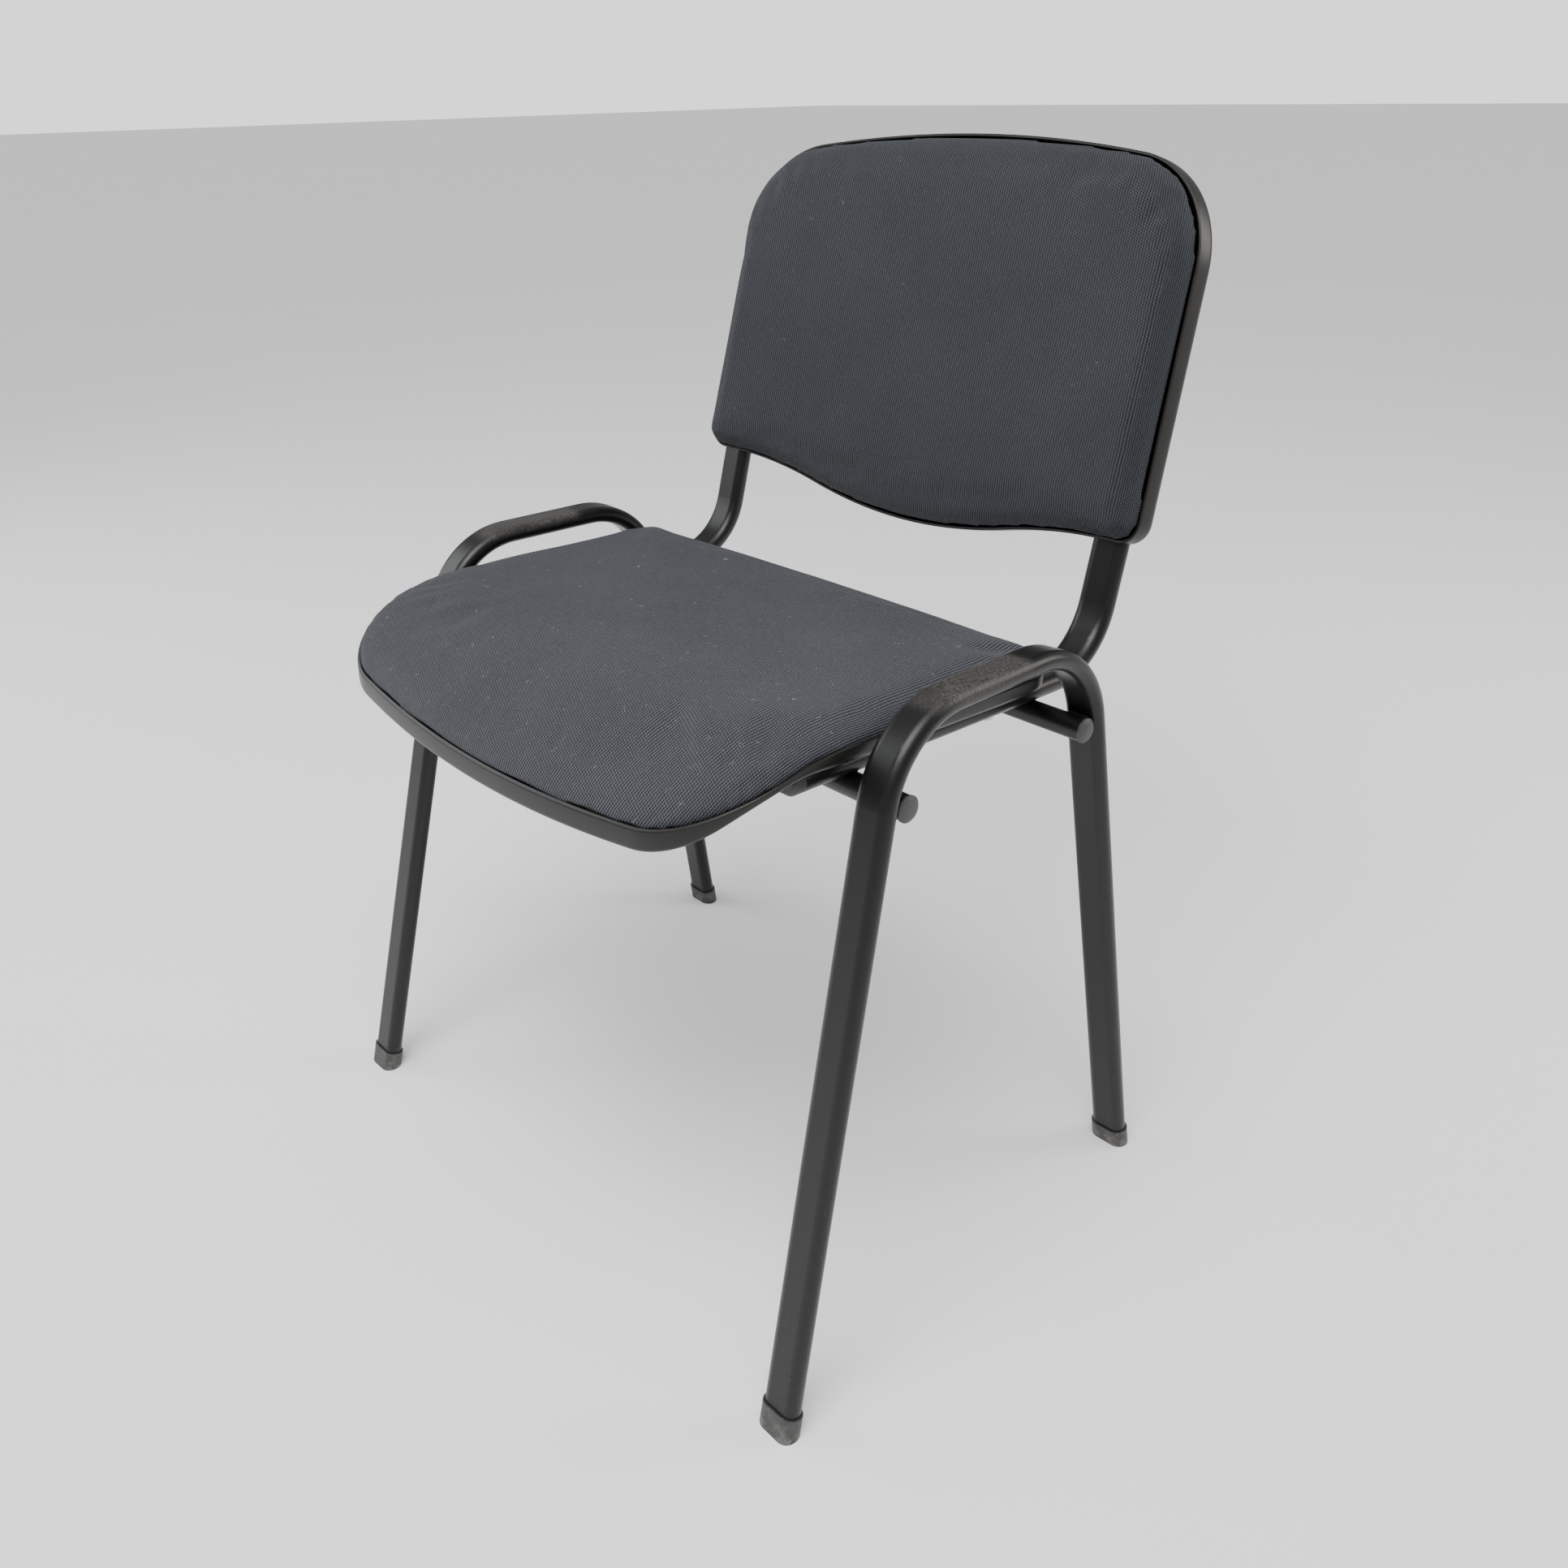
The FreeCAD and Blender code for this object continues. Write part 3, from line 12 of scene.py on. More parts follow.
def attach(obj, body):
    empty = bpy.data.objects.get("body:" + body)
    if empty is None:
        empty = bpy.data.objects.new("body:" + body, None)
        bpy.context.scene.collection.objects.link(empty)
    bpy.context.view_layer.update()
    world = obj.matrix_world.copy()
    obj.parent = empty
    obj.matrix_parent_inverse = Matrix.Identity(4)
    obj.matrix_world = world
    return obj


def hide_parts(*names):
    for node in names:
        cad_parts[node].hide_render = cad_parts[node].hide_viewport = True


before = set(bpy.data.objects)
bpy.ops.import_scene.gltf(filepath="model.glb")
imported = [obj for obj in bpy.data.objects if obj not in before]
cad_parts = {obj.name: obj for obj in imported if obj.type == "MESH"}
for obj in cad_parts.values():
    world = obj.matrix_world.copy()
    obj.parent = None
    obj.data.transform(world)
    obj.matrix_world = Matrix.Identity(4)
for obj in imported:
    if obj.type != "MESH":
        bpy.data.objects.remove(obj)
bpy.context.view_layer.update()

MM = 0.001

# the two leaning planes that the cushions lie in: a point on the plane, and its lean in degrees
SEAT_ORIGIN = np.array([0.0, -0.117312, 0.465147])
SEAT_TILT = 3.8
BACK_ORIGIN = np.array([0.0, 0.222453, 0.669855])
BACK_LEAN = 15.9

PAN_WALL = 2.5 * MM
LIP = 0.9 * MM
COVER_INSET = 2.7 * MM


# ---------------------------------------------------------------- shapes

def rolled(points, origin, degrees):
    """Points of a plane's own frame, turned about X by minus its lean and moved to its origin."""
    c = math.cos(math.radians(degrees))
    s = math.sin(math.radians(degrees))
    x, y, z = points.T
    return np.stack([x, y * c + z * s, z * c - y * s], axis=1) + origin


def bowed(start, end, bow, count=60):
    """An arc from start to end that stands off its chord by bow, to the right of the way."""
    start = np.array(start)
    end = np.array(end)
    t = np.linspace(0.0, 1.0, count)[:, None]
    chord = end - start
    side = np.array([chord[1], -chord[0]]) / np.linalg.norm(chord)
    return start + t * chord + 4 * bow * t * (1 - t) * side


def rounded_outline(curves, radii, count):
    """A closed outline, counter-clockwise, from curves whose ends meet, with a radius at each joint.

    A joint is cut back by radius / tan(half its angle) along both curves and bridged by the
    conic whose control point is the joint, which is a circle's arc where both sides are straight."""
    pieces = []
    bridges = []
    total = len(curves)
    trims = [[0.0, 0.0] for _ in curves]
    for i in range(total):
        before = curves[i]
        after = curves[(i + 1) % total]
        a = before[-2] - before[-1]
        b = after[1] - after[0]
        cosine = a @ b / np.linalg.norm(a) / np.linalg.norm(b)
        half = math.acos(max(-1.0, min(1.0, cosine))) / 2
        cut = radii[i] / math.tan(half) if radii[i] else 0.0
        trims[i][1] = cut
        trims[(i + 1) % total][0] = cut
        bridges.append((before[-1], math.sin(half)))
    for i, curve in enumerate(curves):
        run = np.concatenate([[0], np.cumsum(np.linalg.norm(np.diff(curve, axis=0), axis=1))])
        where = np.linspace(trims[i][0], run[-1] - trims[i][1], 80)
        kept = np.stack([np.interp(where, run, curve[:, k]) for k in (0, 1)], axis=1)
        pieces.append(kept)
    line = []
    t = np.linspace(0.0, 1.0, 40)[:, None]
    for i in range(total):
        line.append(pieces[i])
        if radii[i]:
            p = pieces[i][-1]
            q = pieces[(i + 1) % total][0]
            corner, weight = bridges[i]
            bottom = (1 - t) ** 2 + 2 * weight * t * (1 - t) + t ** 2
            line.append(((1 - t) ** 2 * p + 2 * weight * t * (1 - t) * corner + t ** 2 * q) / bottom)
    line = np.vstack(line)
    line = np.vstack([line, line[:1]])
    run = np.concatenate([[0], np.cumsum(np.linalg.norm(np.diff(line, axis=0), axis=1))])
    keep = np.concatenate([[True], np.diff(run) > 1e-9])
    where = np.linspace(0, run[-1], count, endpoint=False)
    return np.stack([np.interp(where, run[keep], line[keep, k]) for k in (0, 1)], axis=1)


def outward(outline):
    """Unit normals of a counter-clockwise outline, from the difference of each point's neighbours."""
    along = np.roll(outline, -1, axis=0) - np.roll(outline, 1, axis=0)
    normal = np.stack([along[:, 1], -along[:, 0]], axis=1)
    return normal / np.linalg.norm(normal, axis=1)[:, None]


def stacked(outline, rings, surface):
    """A closed skin of rings.  A ring is (inset, height, scale): the outline moved inwards by the inset
    and shrunk about the middle by the scale, at a height along the base surface's own normal.
    The first and the last ring close to a pole.  surface(x, y, height) gives the points."""
    normal = outward(outline)
    middle = (outline.max(axis=0) + outline.min(axis=0)) / 2
    count = len(outline)
    layers = []
    for inset, height, scale in rings:
        flat = middle + scale * (outline - inset * normal - middle)
        layers.append(surface(flat[:, 0], flat[:, 1], height))
    verts = np.vstack(layers)
    first = surface(middle[:1], middle[1:], rings[0][1])
    last = surface(middle[:1], middle[1:], rings[-1][1])
    verts = np.vstack([verts, first, last])
    i = np.arange(count)
    j = (i + 1) % count
    faces = []
    for layer in range(len(rings) - 1):
        low = layer * count
        high = low + count
        faces.append(np.stack([low + i, low + j, high + j, high + i], axis=1))
    quads = np.vstack(faces)
    pole = len(layers) * count
    top = (len(rings) - 1) * count
    fans = [np.stack([np.full(count, pole), j, i], axis=1),
            np.stack([np.full(count, pole + 1), top + i, top + j], axis=1)]
    return verts, quads.tolist() + np.vstack(fans).tolist()


def new_piece(name, verts, faces, replaces=(), smooth=True):
    mesh = bpy.data.meshes.new(name)
    mesh.from_pydata(verts.tolist(), [], faces)
    mesh.update()
    if smooth:
        mesh.polygons.foreach_set("use_smooth", np.ones(len(mesh.polygons), bool))
    piece = bpy.data.objects.new(name, mesh)
    bpy.context.scene.collection.objects.link(piece)
    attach(piece, "root")
    if replaces:
        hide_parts(*replaces)
    return piece


def coordinates(mesh):
    co = np.empty(len(mesh.vertices) * 3)
    mesh.vertices.foreach_get("co", co)
    return co.reshape(-1, 3)


def quarter(inset, height, radius, start, end, steps, rise):
    """Ring places round a quarter circle about (inset, height), angles in degrees from outwards."""
    angles = np.radians(np.linspace(start, end, steps))
    return [(inset - radius * math.cos(a), height + rise * radius * math.sin(a), 1.0) for a in angles]


# ---------------------------------------------------------------- seat

SEAT_FRONT = 151 * MM
SEAT_REAR = 205 * MM
FRONT_HALF = 230.3 * MM
REAR_HALF = 240.5 * MM
FRONT_BOW = 19.5 * MM
REAR_BOW = 6.5 * MM
SIDE_BOW = 3.7 * MM
FRONT_CORNER = 79 * MM
REAR_CORNER = 32 * MM
HUMP_Y = -8.4 * MM
HUMP = 13 * MM
HUMP_RADIUS = 220.6 * MM
FLOOR_START = 45 * MM
FLOOR_RADIUS = 100 * MM
FLOOR_SLOPE = 39.5
DIP_Y = 95 * MM
DIP = 12.4 * MM
REAR_RISE = 2 * MM


def seat_rim(y):
    """Height of the seat's rim: a circle's arc in front of the hump, a half sine wave
    from the hump down to the dip, and a parabola from the dip up to the rear edge."""
    front = HUMP - HUMP_RADIUS + np.sqrt(HUMP_RADIUS ** 2 - np.minimum(y - HUMP_Y, 0) ** 2)
    part = np.clip((y - HUMP_Y) / (DIP_Y - HUMP_Y), 0, 1)
    middle = -(HUMP - DIP) * np.sin(math.pi / 2 * part) ** 2
    rear = REAR_RISE * (np.maximum(y - DIP_Y, 0) / (SEAT_REAR - DIP_Y)) ** 2
    return front + middle + rear


def seat_surface(x, y, height):
    """A point above the rim along the rim surface's normal, or straight below it."""
    step = 0.5 * MM
    height = height(x, y) if callable(height) else np.full_like(x, height)
    slope = (seat_rim(y + step) - seat_rim(y - step)) / (2 * step)
    slope = np.where(height > 0, slope, 0.0)
    length = np.sqrt(1 + slope ** 2)
    return np.stack([x, y - height * slope / length, seat_rim(y) + height / length], axis=1)


FRONT_SHOULDER = FRONT_BOW - SEAT_FRONT
REAR_SHOULDER = SEAT_REAR - REAR_BOW
SEAT_OUTLINE = rounded_outline(
    [bowed((-FRONT_HALF, FRONT_SHOULDER), (FRONT_HALF, FRONT_SHOULDER), FRONT_BOW),
     bowed((FRONT_HALF, FRONT_SHOULDER), (REAR_HALF, REAR_SHOULDER), SIDE_BOW),
     bowed((REAR_HALF, REAR_SHOULDER), (-REAR_HALF, REAR_SHOULDER), REAR_BOW),
     bowed((-REAR_HALF, REAR_SHOULDER), (-FRONT_HALF, FRONT_SHOULDER), SIDE_BOW)],
    [FRONT_CORNER, REAR_CORNER, REAR_CORNER, FRONT_CORNER], 480)


def pan_depth(x, y):
    """Height of the pan's floor above the rim, so below zero: flat over the supports, then bent
    down about one centre, then straight to the front edge."""
    steep = math.radians(FLOOR_SLOPE)
    reach = np.clip(-FLOOR_START - y, 0, FLOOR_RADIUS * math.sin(steep))
    bend = FLOOR_RADIUS - np.sqrt(FLOOR_RADIUS ** 2 - reach ** 2)
    beyond = np.maximum(-FLOOR_START - y - FLOOR_RADIUS * math.sin(steep), 0)
    return -bend - beyond * math.tan(steep) - seat_rim(y)


def lip_rings(wall):
    """The rim of a tray, from its outer wall over a rounded lip to its inner wall."""
    outer = quarter(LIP, -LIP, LIP, 0, 90, 6, 1)
    inner = quarter(wall - LIP, -LIP, -LIP, 90, 0, 6, -1)
    return outer + inner


def seat_pan():
    rounding = 6.5 * MM
    floor = [(rounding, pan_depth, s) for s in (0.15, 0.35, 0.55, 0.75, 0.9, 0.97, 1.0)]
    bend = []
    for angle in np.radians(np.linspace(80, 0, 9)):
        lift = rounding * (1 - math.sin(angle))
        bend.append((rounding * (1 - math.cos(angle)),
                     lambda x, y, lift=lift: pan_depth(x, y) + lift, 1.0))
    inner_floor = [(PAN_WALL + 4 * MM, lambda x, y: pan_depth(x, y) + PAN_WALL, s)
                   for s in (1.0, 0.9, 0.7, 0.4, 0.15)]
    inner_wall = [(PAN_WALL, -3 * MM, 1.0),
                  (PAN_WALL + 0.5 * MM, lambda x, y: pan_depth(x, y) + 4.5 * MM, 1.0)]
    rings = floor + bend + lip_rings(PAN_WALL) + inner_wall + inner_floor
    verts, faces = stacked(SEAT_OUTLINE, rings, seat_surface)
    return new_piece("seat_pan_moulding", rolled(verts, SEAT_ORIGIN, SEAT_TILT), faces,
                     ["seat_pan"])


# ---------------------------------------------------------------- back

BACK_CURVE = 1600 * MM
BACK_TOP = 153.5 * MM
BACK_BOTTOM = -142.4 * MM
TOP_HALF = 236 * MM
BOTTOM_HALF = 242 * MM
TOP_BOW = 26.5 * MM
TONGUE = 26 * MM
TOP_CORNER = 86.5 * MM
BOTTOM_CORNER = 18 * MM
TONGUE_END = BOTTOM_HALF - 24 * MM


def tongue_edge():
    """The hanging bottom edge from the left end to the right: an arc between two reversed ones."""
    s = np.linspace(-1.0, 1.0, 161)
    quarter_wave = np.where(np.abs(s) < 0.5, 1 - 2 * s ** 2, 2 * (1 - np.abs(s)) ** 2)
    return np.stack([s * TONGUE_END, BACK_BOTTOM - TONGUE * quarter_wave], axis=1)


def back_outline(count):
    shoulder = BACK_TOP - TOP_BOW
    edge = tongue_edge()
    low_right = np.array([[TONGUE_END, BACK_BOTTOM], [BOTTOM_HALF, BACK_BOTTOM]])
    bottom = np.vstack([low_right[1:] * [-1, 1], edge, low_right[1:]])
    return rounded_outline(
        [bottom,
         bowed((BOTTOM_HALF, BACK_BOTTOM), (TOP_HALF, shoulder), 0.0),
         bowed((TOP_HALF, shoulder), (-TOP_HALF, shoulder), TOP_BOW),
         bowed((-TOP_HALF, shoulder), (-BOTTOM_HALF, BACK_BOTTOM), 0.0)],
        [BOTTOM_CORNER, TOP_CORNER, TOP_CORNER, BOTTOM_CORNER], count)


def back_sag(x):
    """How far the rim's circle has swung back from its middle at x."""
    return BACK_CURVE - np.sqrt(BACK_CURVE ** 2 - x ** 2)


def back_surface(x, z, height):
    """A point at a height in front of the rim's circle, along the circle's normal."""
    height = height(x, z) if callable(height) else height
    lean = np.arcsin(x / BACK_CURVE)
    return np.stack([x - height * np.sin(lean), -back_sag(x) - height * np.cos(lean), z], axis=1)


def back_shell():
    depth = 20 * MM
    rounding = 9 * MM
    outline = back_outline(560)
    floor = [(rounding, -depth, s) for s in (0.15, 0.35, 0.55, 0.75, 0.9, 0.97, 1.0)]
    bend = quarter(rounding, rounding - depth, rounding, 80, 0, 9, -1)
    inner_wall = [(PAN_WALL, -3 * MM, 1.0), (PAN_WALL + 0.5 * MM, -depth + 9 * MM, 1.0),
                  (PAN_WALL + 4 * MM, -depth + PAN_WALL + 1 * MM, 1.0)]
    inner_floor = [(PAN_WALL + 7 * MM, -depth + PAN_WALL, s) for s in (1.0, 0.9, 0.7, 0.4, 0.15)]
    rings = floor + bend + lip_rings(PAN_WALL) + inner_wall + inner_floor
    verts, faces = stacked(outline, rings, back_surface)
    # the outline runs counter-clockwise seen from the rear, so faces are turned to point outwards
    faces = [face[::-1] for face in faces]
    return new_piece("back_shell_moulding", rolled(verts, BACK_ORIGIN, BACK_LEAN), faces,
                     ["back_shell"])


# ---------------------------------------------------------------- cushions

# the ribs run over the rolled edge away from the cushion's middle
SEAT_MIDDLE = 30 * MM
MIDDLE_REACH = 50 * MM
# the cloth is held up to this above the rim
HELD = 1.5 * MM
SETTLE_LIMIT = 2.5 * MM
SETTLE_PRESSURE = 4.0
SETTLE_STEPS = 20
VOXEL = 4.5 * MM
CLOTH = {"quality": 5, "mass": 0.3, "tension_stiffness": 40, "compression_stiffness": 40,
         "shear_stiffness": 20, "bending_stiffness": 6, "use_pressure": True}
# height of a cushion's wall where its upper edge starts to turn
FOOT_OF_TURN = 0.8 * MM
OVER_THE_TOP = (0.985, 0.96, 0.93, 0.89, 0.84, 0.78, 0.7, 0.6, 0.48, 0.35, 0.2, 0.08)

def soft_hills(x, y, size, seed, waves=9):
    """A gentle sum of sine waves in random directions, about plus or minus size."""
    source = np.random.default_rng(seed)
    total = np.zeros_like(x)
    for _ in range(waves):
        angle = source.uniform(0, 2 * math.pi)
        length = source.uniform(0.07, 0.2)
        phase = source.uniform(0, 2 * math.pi)
        total = total + np.sin((x * math.cos(angle) + y * math.sin(angle)) * 2 * math.pi / length + phase)
    return size * total / math.sqrt(waves)


def cushion_rings(crown, rounding, tuck, top):
    """From a pole underneath, up the wall, round the upper edge and in over the top to a pole."""
    under = [(COVER_INSET + 2 * MM, -tuck, s) for s in (0.1, 0.3, 0.5, 0.7, 0.85, 0.95, 1.0)]
    wall = [(COVER_INSET, -tuck + 1.5 * MM, 1.0), (COVER_INSET, -1 * MM, 1.0),
            (COVER_INSET - 0.1 * MM, FOOT_OF_TURN, 1.0)]
    turn = []
    for angle in np.radians(np.linspace(0, 90, 13))[1:]:
        def height(x, y, sine=math.sin(angle)):
            full = crown(x, y) if callable(crown) else crown
            return FOOT_OF_TURN + (full - FOOT_OF_TURN) * sine
        turn.append((COVER_INSET + rounding * (1 - math.cos(angle)), height, 1.0))
    over = [(COVER_INSET + rounding, top, s) for s in OVER_THE_TOP]
    return under + wall + turn + over


def settle(piece, pinned):
    """Let the cover settle over its filling as cloth under a little pressure, held where it is tucked
    in.  Movement is capped."""
    mesh = piece.data
    start = coordinates(mesh)
    group = piece.vertex_groups.new(name="held")
    group.add(np.nonzero(pinned)[0].tolist(), 1.0, "REPLACE")
    cloth = piece.modifiers.new("cloth", "CLOTH")
    for key, number in CLOTH.items():
        setattr(cloth.settings, key, number)
    cloth.settings.uniform_pressure_force = SETTLE_PRESSURE
    cloth.settings.vertex_group_mass = "held"
    cloth.settings.effector_weights.gravity = 0
    cloth.point_cache.frame_start = 1
    cloth.point_cache.frame_end = SETTLE_STEPS
    for step in range(1, SETTLE_STEPS + 1):
        bpy.context.scene.frame_set(step)
    graph = bpy.context.evaluated_depsgraph_get()
    settled = coordinates(piece.evaluated_get(graph).data)
    piece.modifiers.clear()
    piece.vertex_groups.clear()
    bpy.context.scene.frame_set(1)
    moved = settled - start
    length = np.linalg.norm(moved, axis=1)[:, None]
    moved = moved * np.minimum(1, SETTLE_LIMIT / np.maximum(length, 1e-9))
    mesh.vertices.foreach_set("co", (start + moved).ravel())
    mesh.update()


def apply_modifiers(piece):
    graph = bpy.context.evaluated_depsgraph_get()
    mesh = bpy.data.meshes.new_from_object(piece.evaluated_get(graph))
    old = piece.data
    piece.modifiers.clear()
    piece.data = mesh
    bpy.data.meshes.remove(old)
    mesh.name = piece.name


def cushion(name, outline, rings, surface, into, flip, nodes, held, weave):
    """A stuffed piece: built in its plane's own frame, settled as cloth, then moved into place."""
    verts, faces = stacked(outline, rings, surface)
    if flip:
        faces = [face[::-1] for face in faces]
    piece = new_piece(name, verts, faces, nodes)
    remesh = piece.modifiers.new("even", "REMESH")
    remesh.mode = "VOXEL"
    remesh.voxel_size = VOXEL
    remesh.use_smooth_shade = True
    apply_modifiers(piece)
    settle(piece, held(coordinates(piece.data)))
    finer = piece.modifiers.new("finer", "SUBSURF")
    finer.levels = 1
    finer.render_levels = 1
    apply_modifiers(piece)
    mesh = piece.data
    local = coordinates(mesh)
    flat = weave(local)
    layer = mesh.attributes.new("weave", "FLOAT_VECTOR", "POINT")
    layer.data.foreach_set("vector", np.column_stack([flat, np.zeros(len(flat))]).ravel())
    mesh.vertices.foreach_set("co", rolled(local, *into).ravel())
    mesh.update()
    mesh.polygons.foreach_set("use_smooth", np.ones(len(mesh.polygons), bool))
    return piece


def seat_cushion():
    crown = 10 * MM

    def edge(x, y):
        """How far the cover stands above the rim where its edge has rolled over: more to the rear."""
        return crown + 5 * MM * np.clip((y - HUMP_Y) / 0.2, 0, 1)

    def top(x, y):
        middle = np.clip((1 - (x / 0.235) ** 2) * 3, 0, 1)
        return edge(x, y) + 1.5 * MM * middle + soft_hills(x, y, 0.35 * MM, 3)

    def held(p):
        return p[:, 2] < seat_rim(p[:, 1]) + HELD

    def weave(p):
        """Across and along the ribs: the plane's x and y, measured along the bend in front of
        the hump, plus the fall below the top where the edge rolls over."""
        x, y, z = p.T
        fall = np.clip(seat_rim(y) + crown - z, 0, None)
        turn = np.arcsin(np.clip((HUMP_Y - y) / HUMP_RADIUS, 0, 1))
        along = np.where(y < HUMP_Y, HUMP_Y - HUMP_RADIUS * turn, y)
        from_middle = y - SEAT_MIDDLE
        pull = fall / np.maximum(np.hypot(x, from_middle), MIDDLE_REACH)
        return np.stack([x * (1 + pull), along + from_middle * pull], axis=1)

    rings = cushion_rings(edge, 10.5 * MM, 5 * MM, top)
    return cushion("seat_cushion", SEAT_OUTLINE, rings, seat_surface, (SEAT_ORIGIN, SEAT_TILT), False,
                   ["seat_cover", "seat_foam"], held, weave)


def back_cushion():
    crown = 16.5 * MM

    def top(x, z):
        return crown + 1.0 * MM * np.clip((1 - (x / 0.235) ** 2) * 2, 0, 1) + soft_hills(x, z, 0.3 * MM, 11)

    def held(p):
        return p[:, 1] > -back_sag(p[:, 0]) - HELD

    def weave(p):
        x, y, z = p.T
        fall = np.clip(crown + y + back_sag(x), 0, None)
        pull = fall / np.maximum(np.hypot(x, z), MIDDLE_REACH)
        return np.stack([x * (1 + pull), z * (1 + pull)], axis=1)

    rings = cushion_rings(crown, 12 * MM, 1.2 * MM, top)
    return cushion("back_cushion", back_outline(520), rings, back_surface, (BACK_ORIGIN, BACK_LEAN), True,
                   ["back_cover", "back_foam"], held, weave)


CLOTH_THICKNESS = 1 * MM
SEAT_PLY = 8 * MM
BACK_PLY_REAR = 1.3 * MM
BACK_PLY = 6 * MM


def board(name, outline, surface, into, flip, low, high, node):
    """A moulded plywood board that follows the rim's surface, with slightly eased edges."""
    inset = COVER_INSET + 9 * MM
    ease = 0.8 * MM
    rings = [(inset + ease, low, s) for s in (0.2, 0.6, 1.0)]
    rings += [(inset, lambda x, y: low(x, y) + ease, 1.0), (inset, lambda x, y: high(x, y) - ease, 1.0)]
    rings += [(inset + ease, high, s) for s in (1.0, 0.6, 0.2)]
    verts, faces = stacked(outline, rings, surface)
    if flip:
        faces = [face[::-1] for face in faces]
    return new_piece(name, rolled(verts, *into), faces, [node], smooth=False)


# ---------------------------------------------------------------- shader maths

class Value:
    """A socket, or a number, with arithmetic that adds Math nodes."""

    def __init__(self, paint, socket):
        self.paint = paint
        self.socket = socket

    def math(self, operation, *others):
        return self.paint.node("ShaderNodeMath", {"operation": operation}, [self, *others])

    def __add__(self, other):
        return self.math("ADD", other)

    __radd__ = __add__

    def __sub__(self, other):
        return self.math("SUBTRACT", other)

    def __rsub__(self, other):
        return (self * -1) + other

    def __mul__(self, other):
        return self.math("MULTIPLY", other)

    __rmul__ = __mul__

    def __truediv__(self, other):
        return self.math("DIVIDE", other)

    def above(self, low, high):
        """0 below low, 1 above high, smooth in between."""
        return self.paint.node("ShaderNodeMapRange", {"interpolation_type": "SMOOTHSTEP"},
                               {"Value": self, "From Min": low, "From Max": high})

    def near(self, centre, reach, soft):
        """1 within reach of the centre, falling to 0 over soft."""
        return 1 - (self - centre).math("ABSOLUTE").above(reach, reach + soft)


class Paint:
    """A material with one Principled shader, built from its sockets up."""

    def __init__(self, name):
        self.material = bpy.data.materials.new(name)
        self.material.use_nodes = True
        self.tree = self.material.node_tree
        self.tree.nodes.clear()
        self.shader = self.tree.nodes.new("ShaderNodeBsdfPrincipled")
        output = self.tree.nodes.new("ShaderNodeOutputMaterial")
        self.tree.links.new(self.shader.outputs[0], output.inputs[0])

    def fill(self, socket, value):
        if isinstance(value, Value):
            self.tree.links.new(value.socket, socket)
        else:
            socket.default_value = value

    def node(self, kind, settings=None, inputs=None, output=0):
        made = self.tree.nodes.new(kind)
        for key, value in (settings or {}).items():
            setattr(made, key, value)
        pairs = inputs.items() if isinstance(inputs, dict) else enumerate(inputs or [])
        for key, value in pairs:
            self.fill(made.inputs[key], value)
        return Value(self, made.outputs[output])

    def set(self, **inputs):
        for key, value in inputs.items():
            self.fill(self.shader.inputs[key.replace("_", " ")], value)

    def place(self):
        return self.node("ShaderNodeTexCoord", output="Object")

    def parts(self, vector):
        split = self.tree.nodes.new("ShaderNodeSeparateXYZ")
        self.fill(split.inputs[0], vector)
        return [Value(self, out) for out in split.outputs]

    def join(self, x, y, z=0.0):
        return self.node("ShaderNodeCombineXYZ", inputs=[x, y, z])

    def noise(self, vector, scale, detail=3.0, roughness=0.55):
        return self.node("ShaderNodeTexNoise", inputs={
            "Vector": vector, "Scale": scale, "Detail": detail, "Roughness": roughness})

    def mix(self, factor, first, second):
        made = self.tree.nodes.new("ShaderNodeMix")
        made.data_type = "RGBA"
        self.fill(made.inputs[0], factor)
        self.fill(made.inputs[6], first)
        self.fill(made.inputs[7], second)
        return Value(self, made.outputs[2])

    def bump(self, height, distance, strength=1.0, under=None):
        inputs = {"Height": height, "Distance": distance, "Strength": strength}
        if under is not None:
            inputs["Normal"] = under
        return self.node("ShaderNodeBump", inputs=inputs)


def grey(level, warm=0.0):
    return (level * (1 + warm), level, level * (1 - warm), 1.0)


# ---------------------------------------------------------------- materials

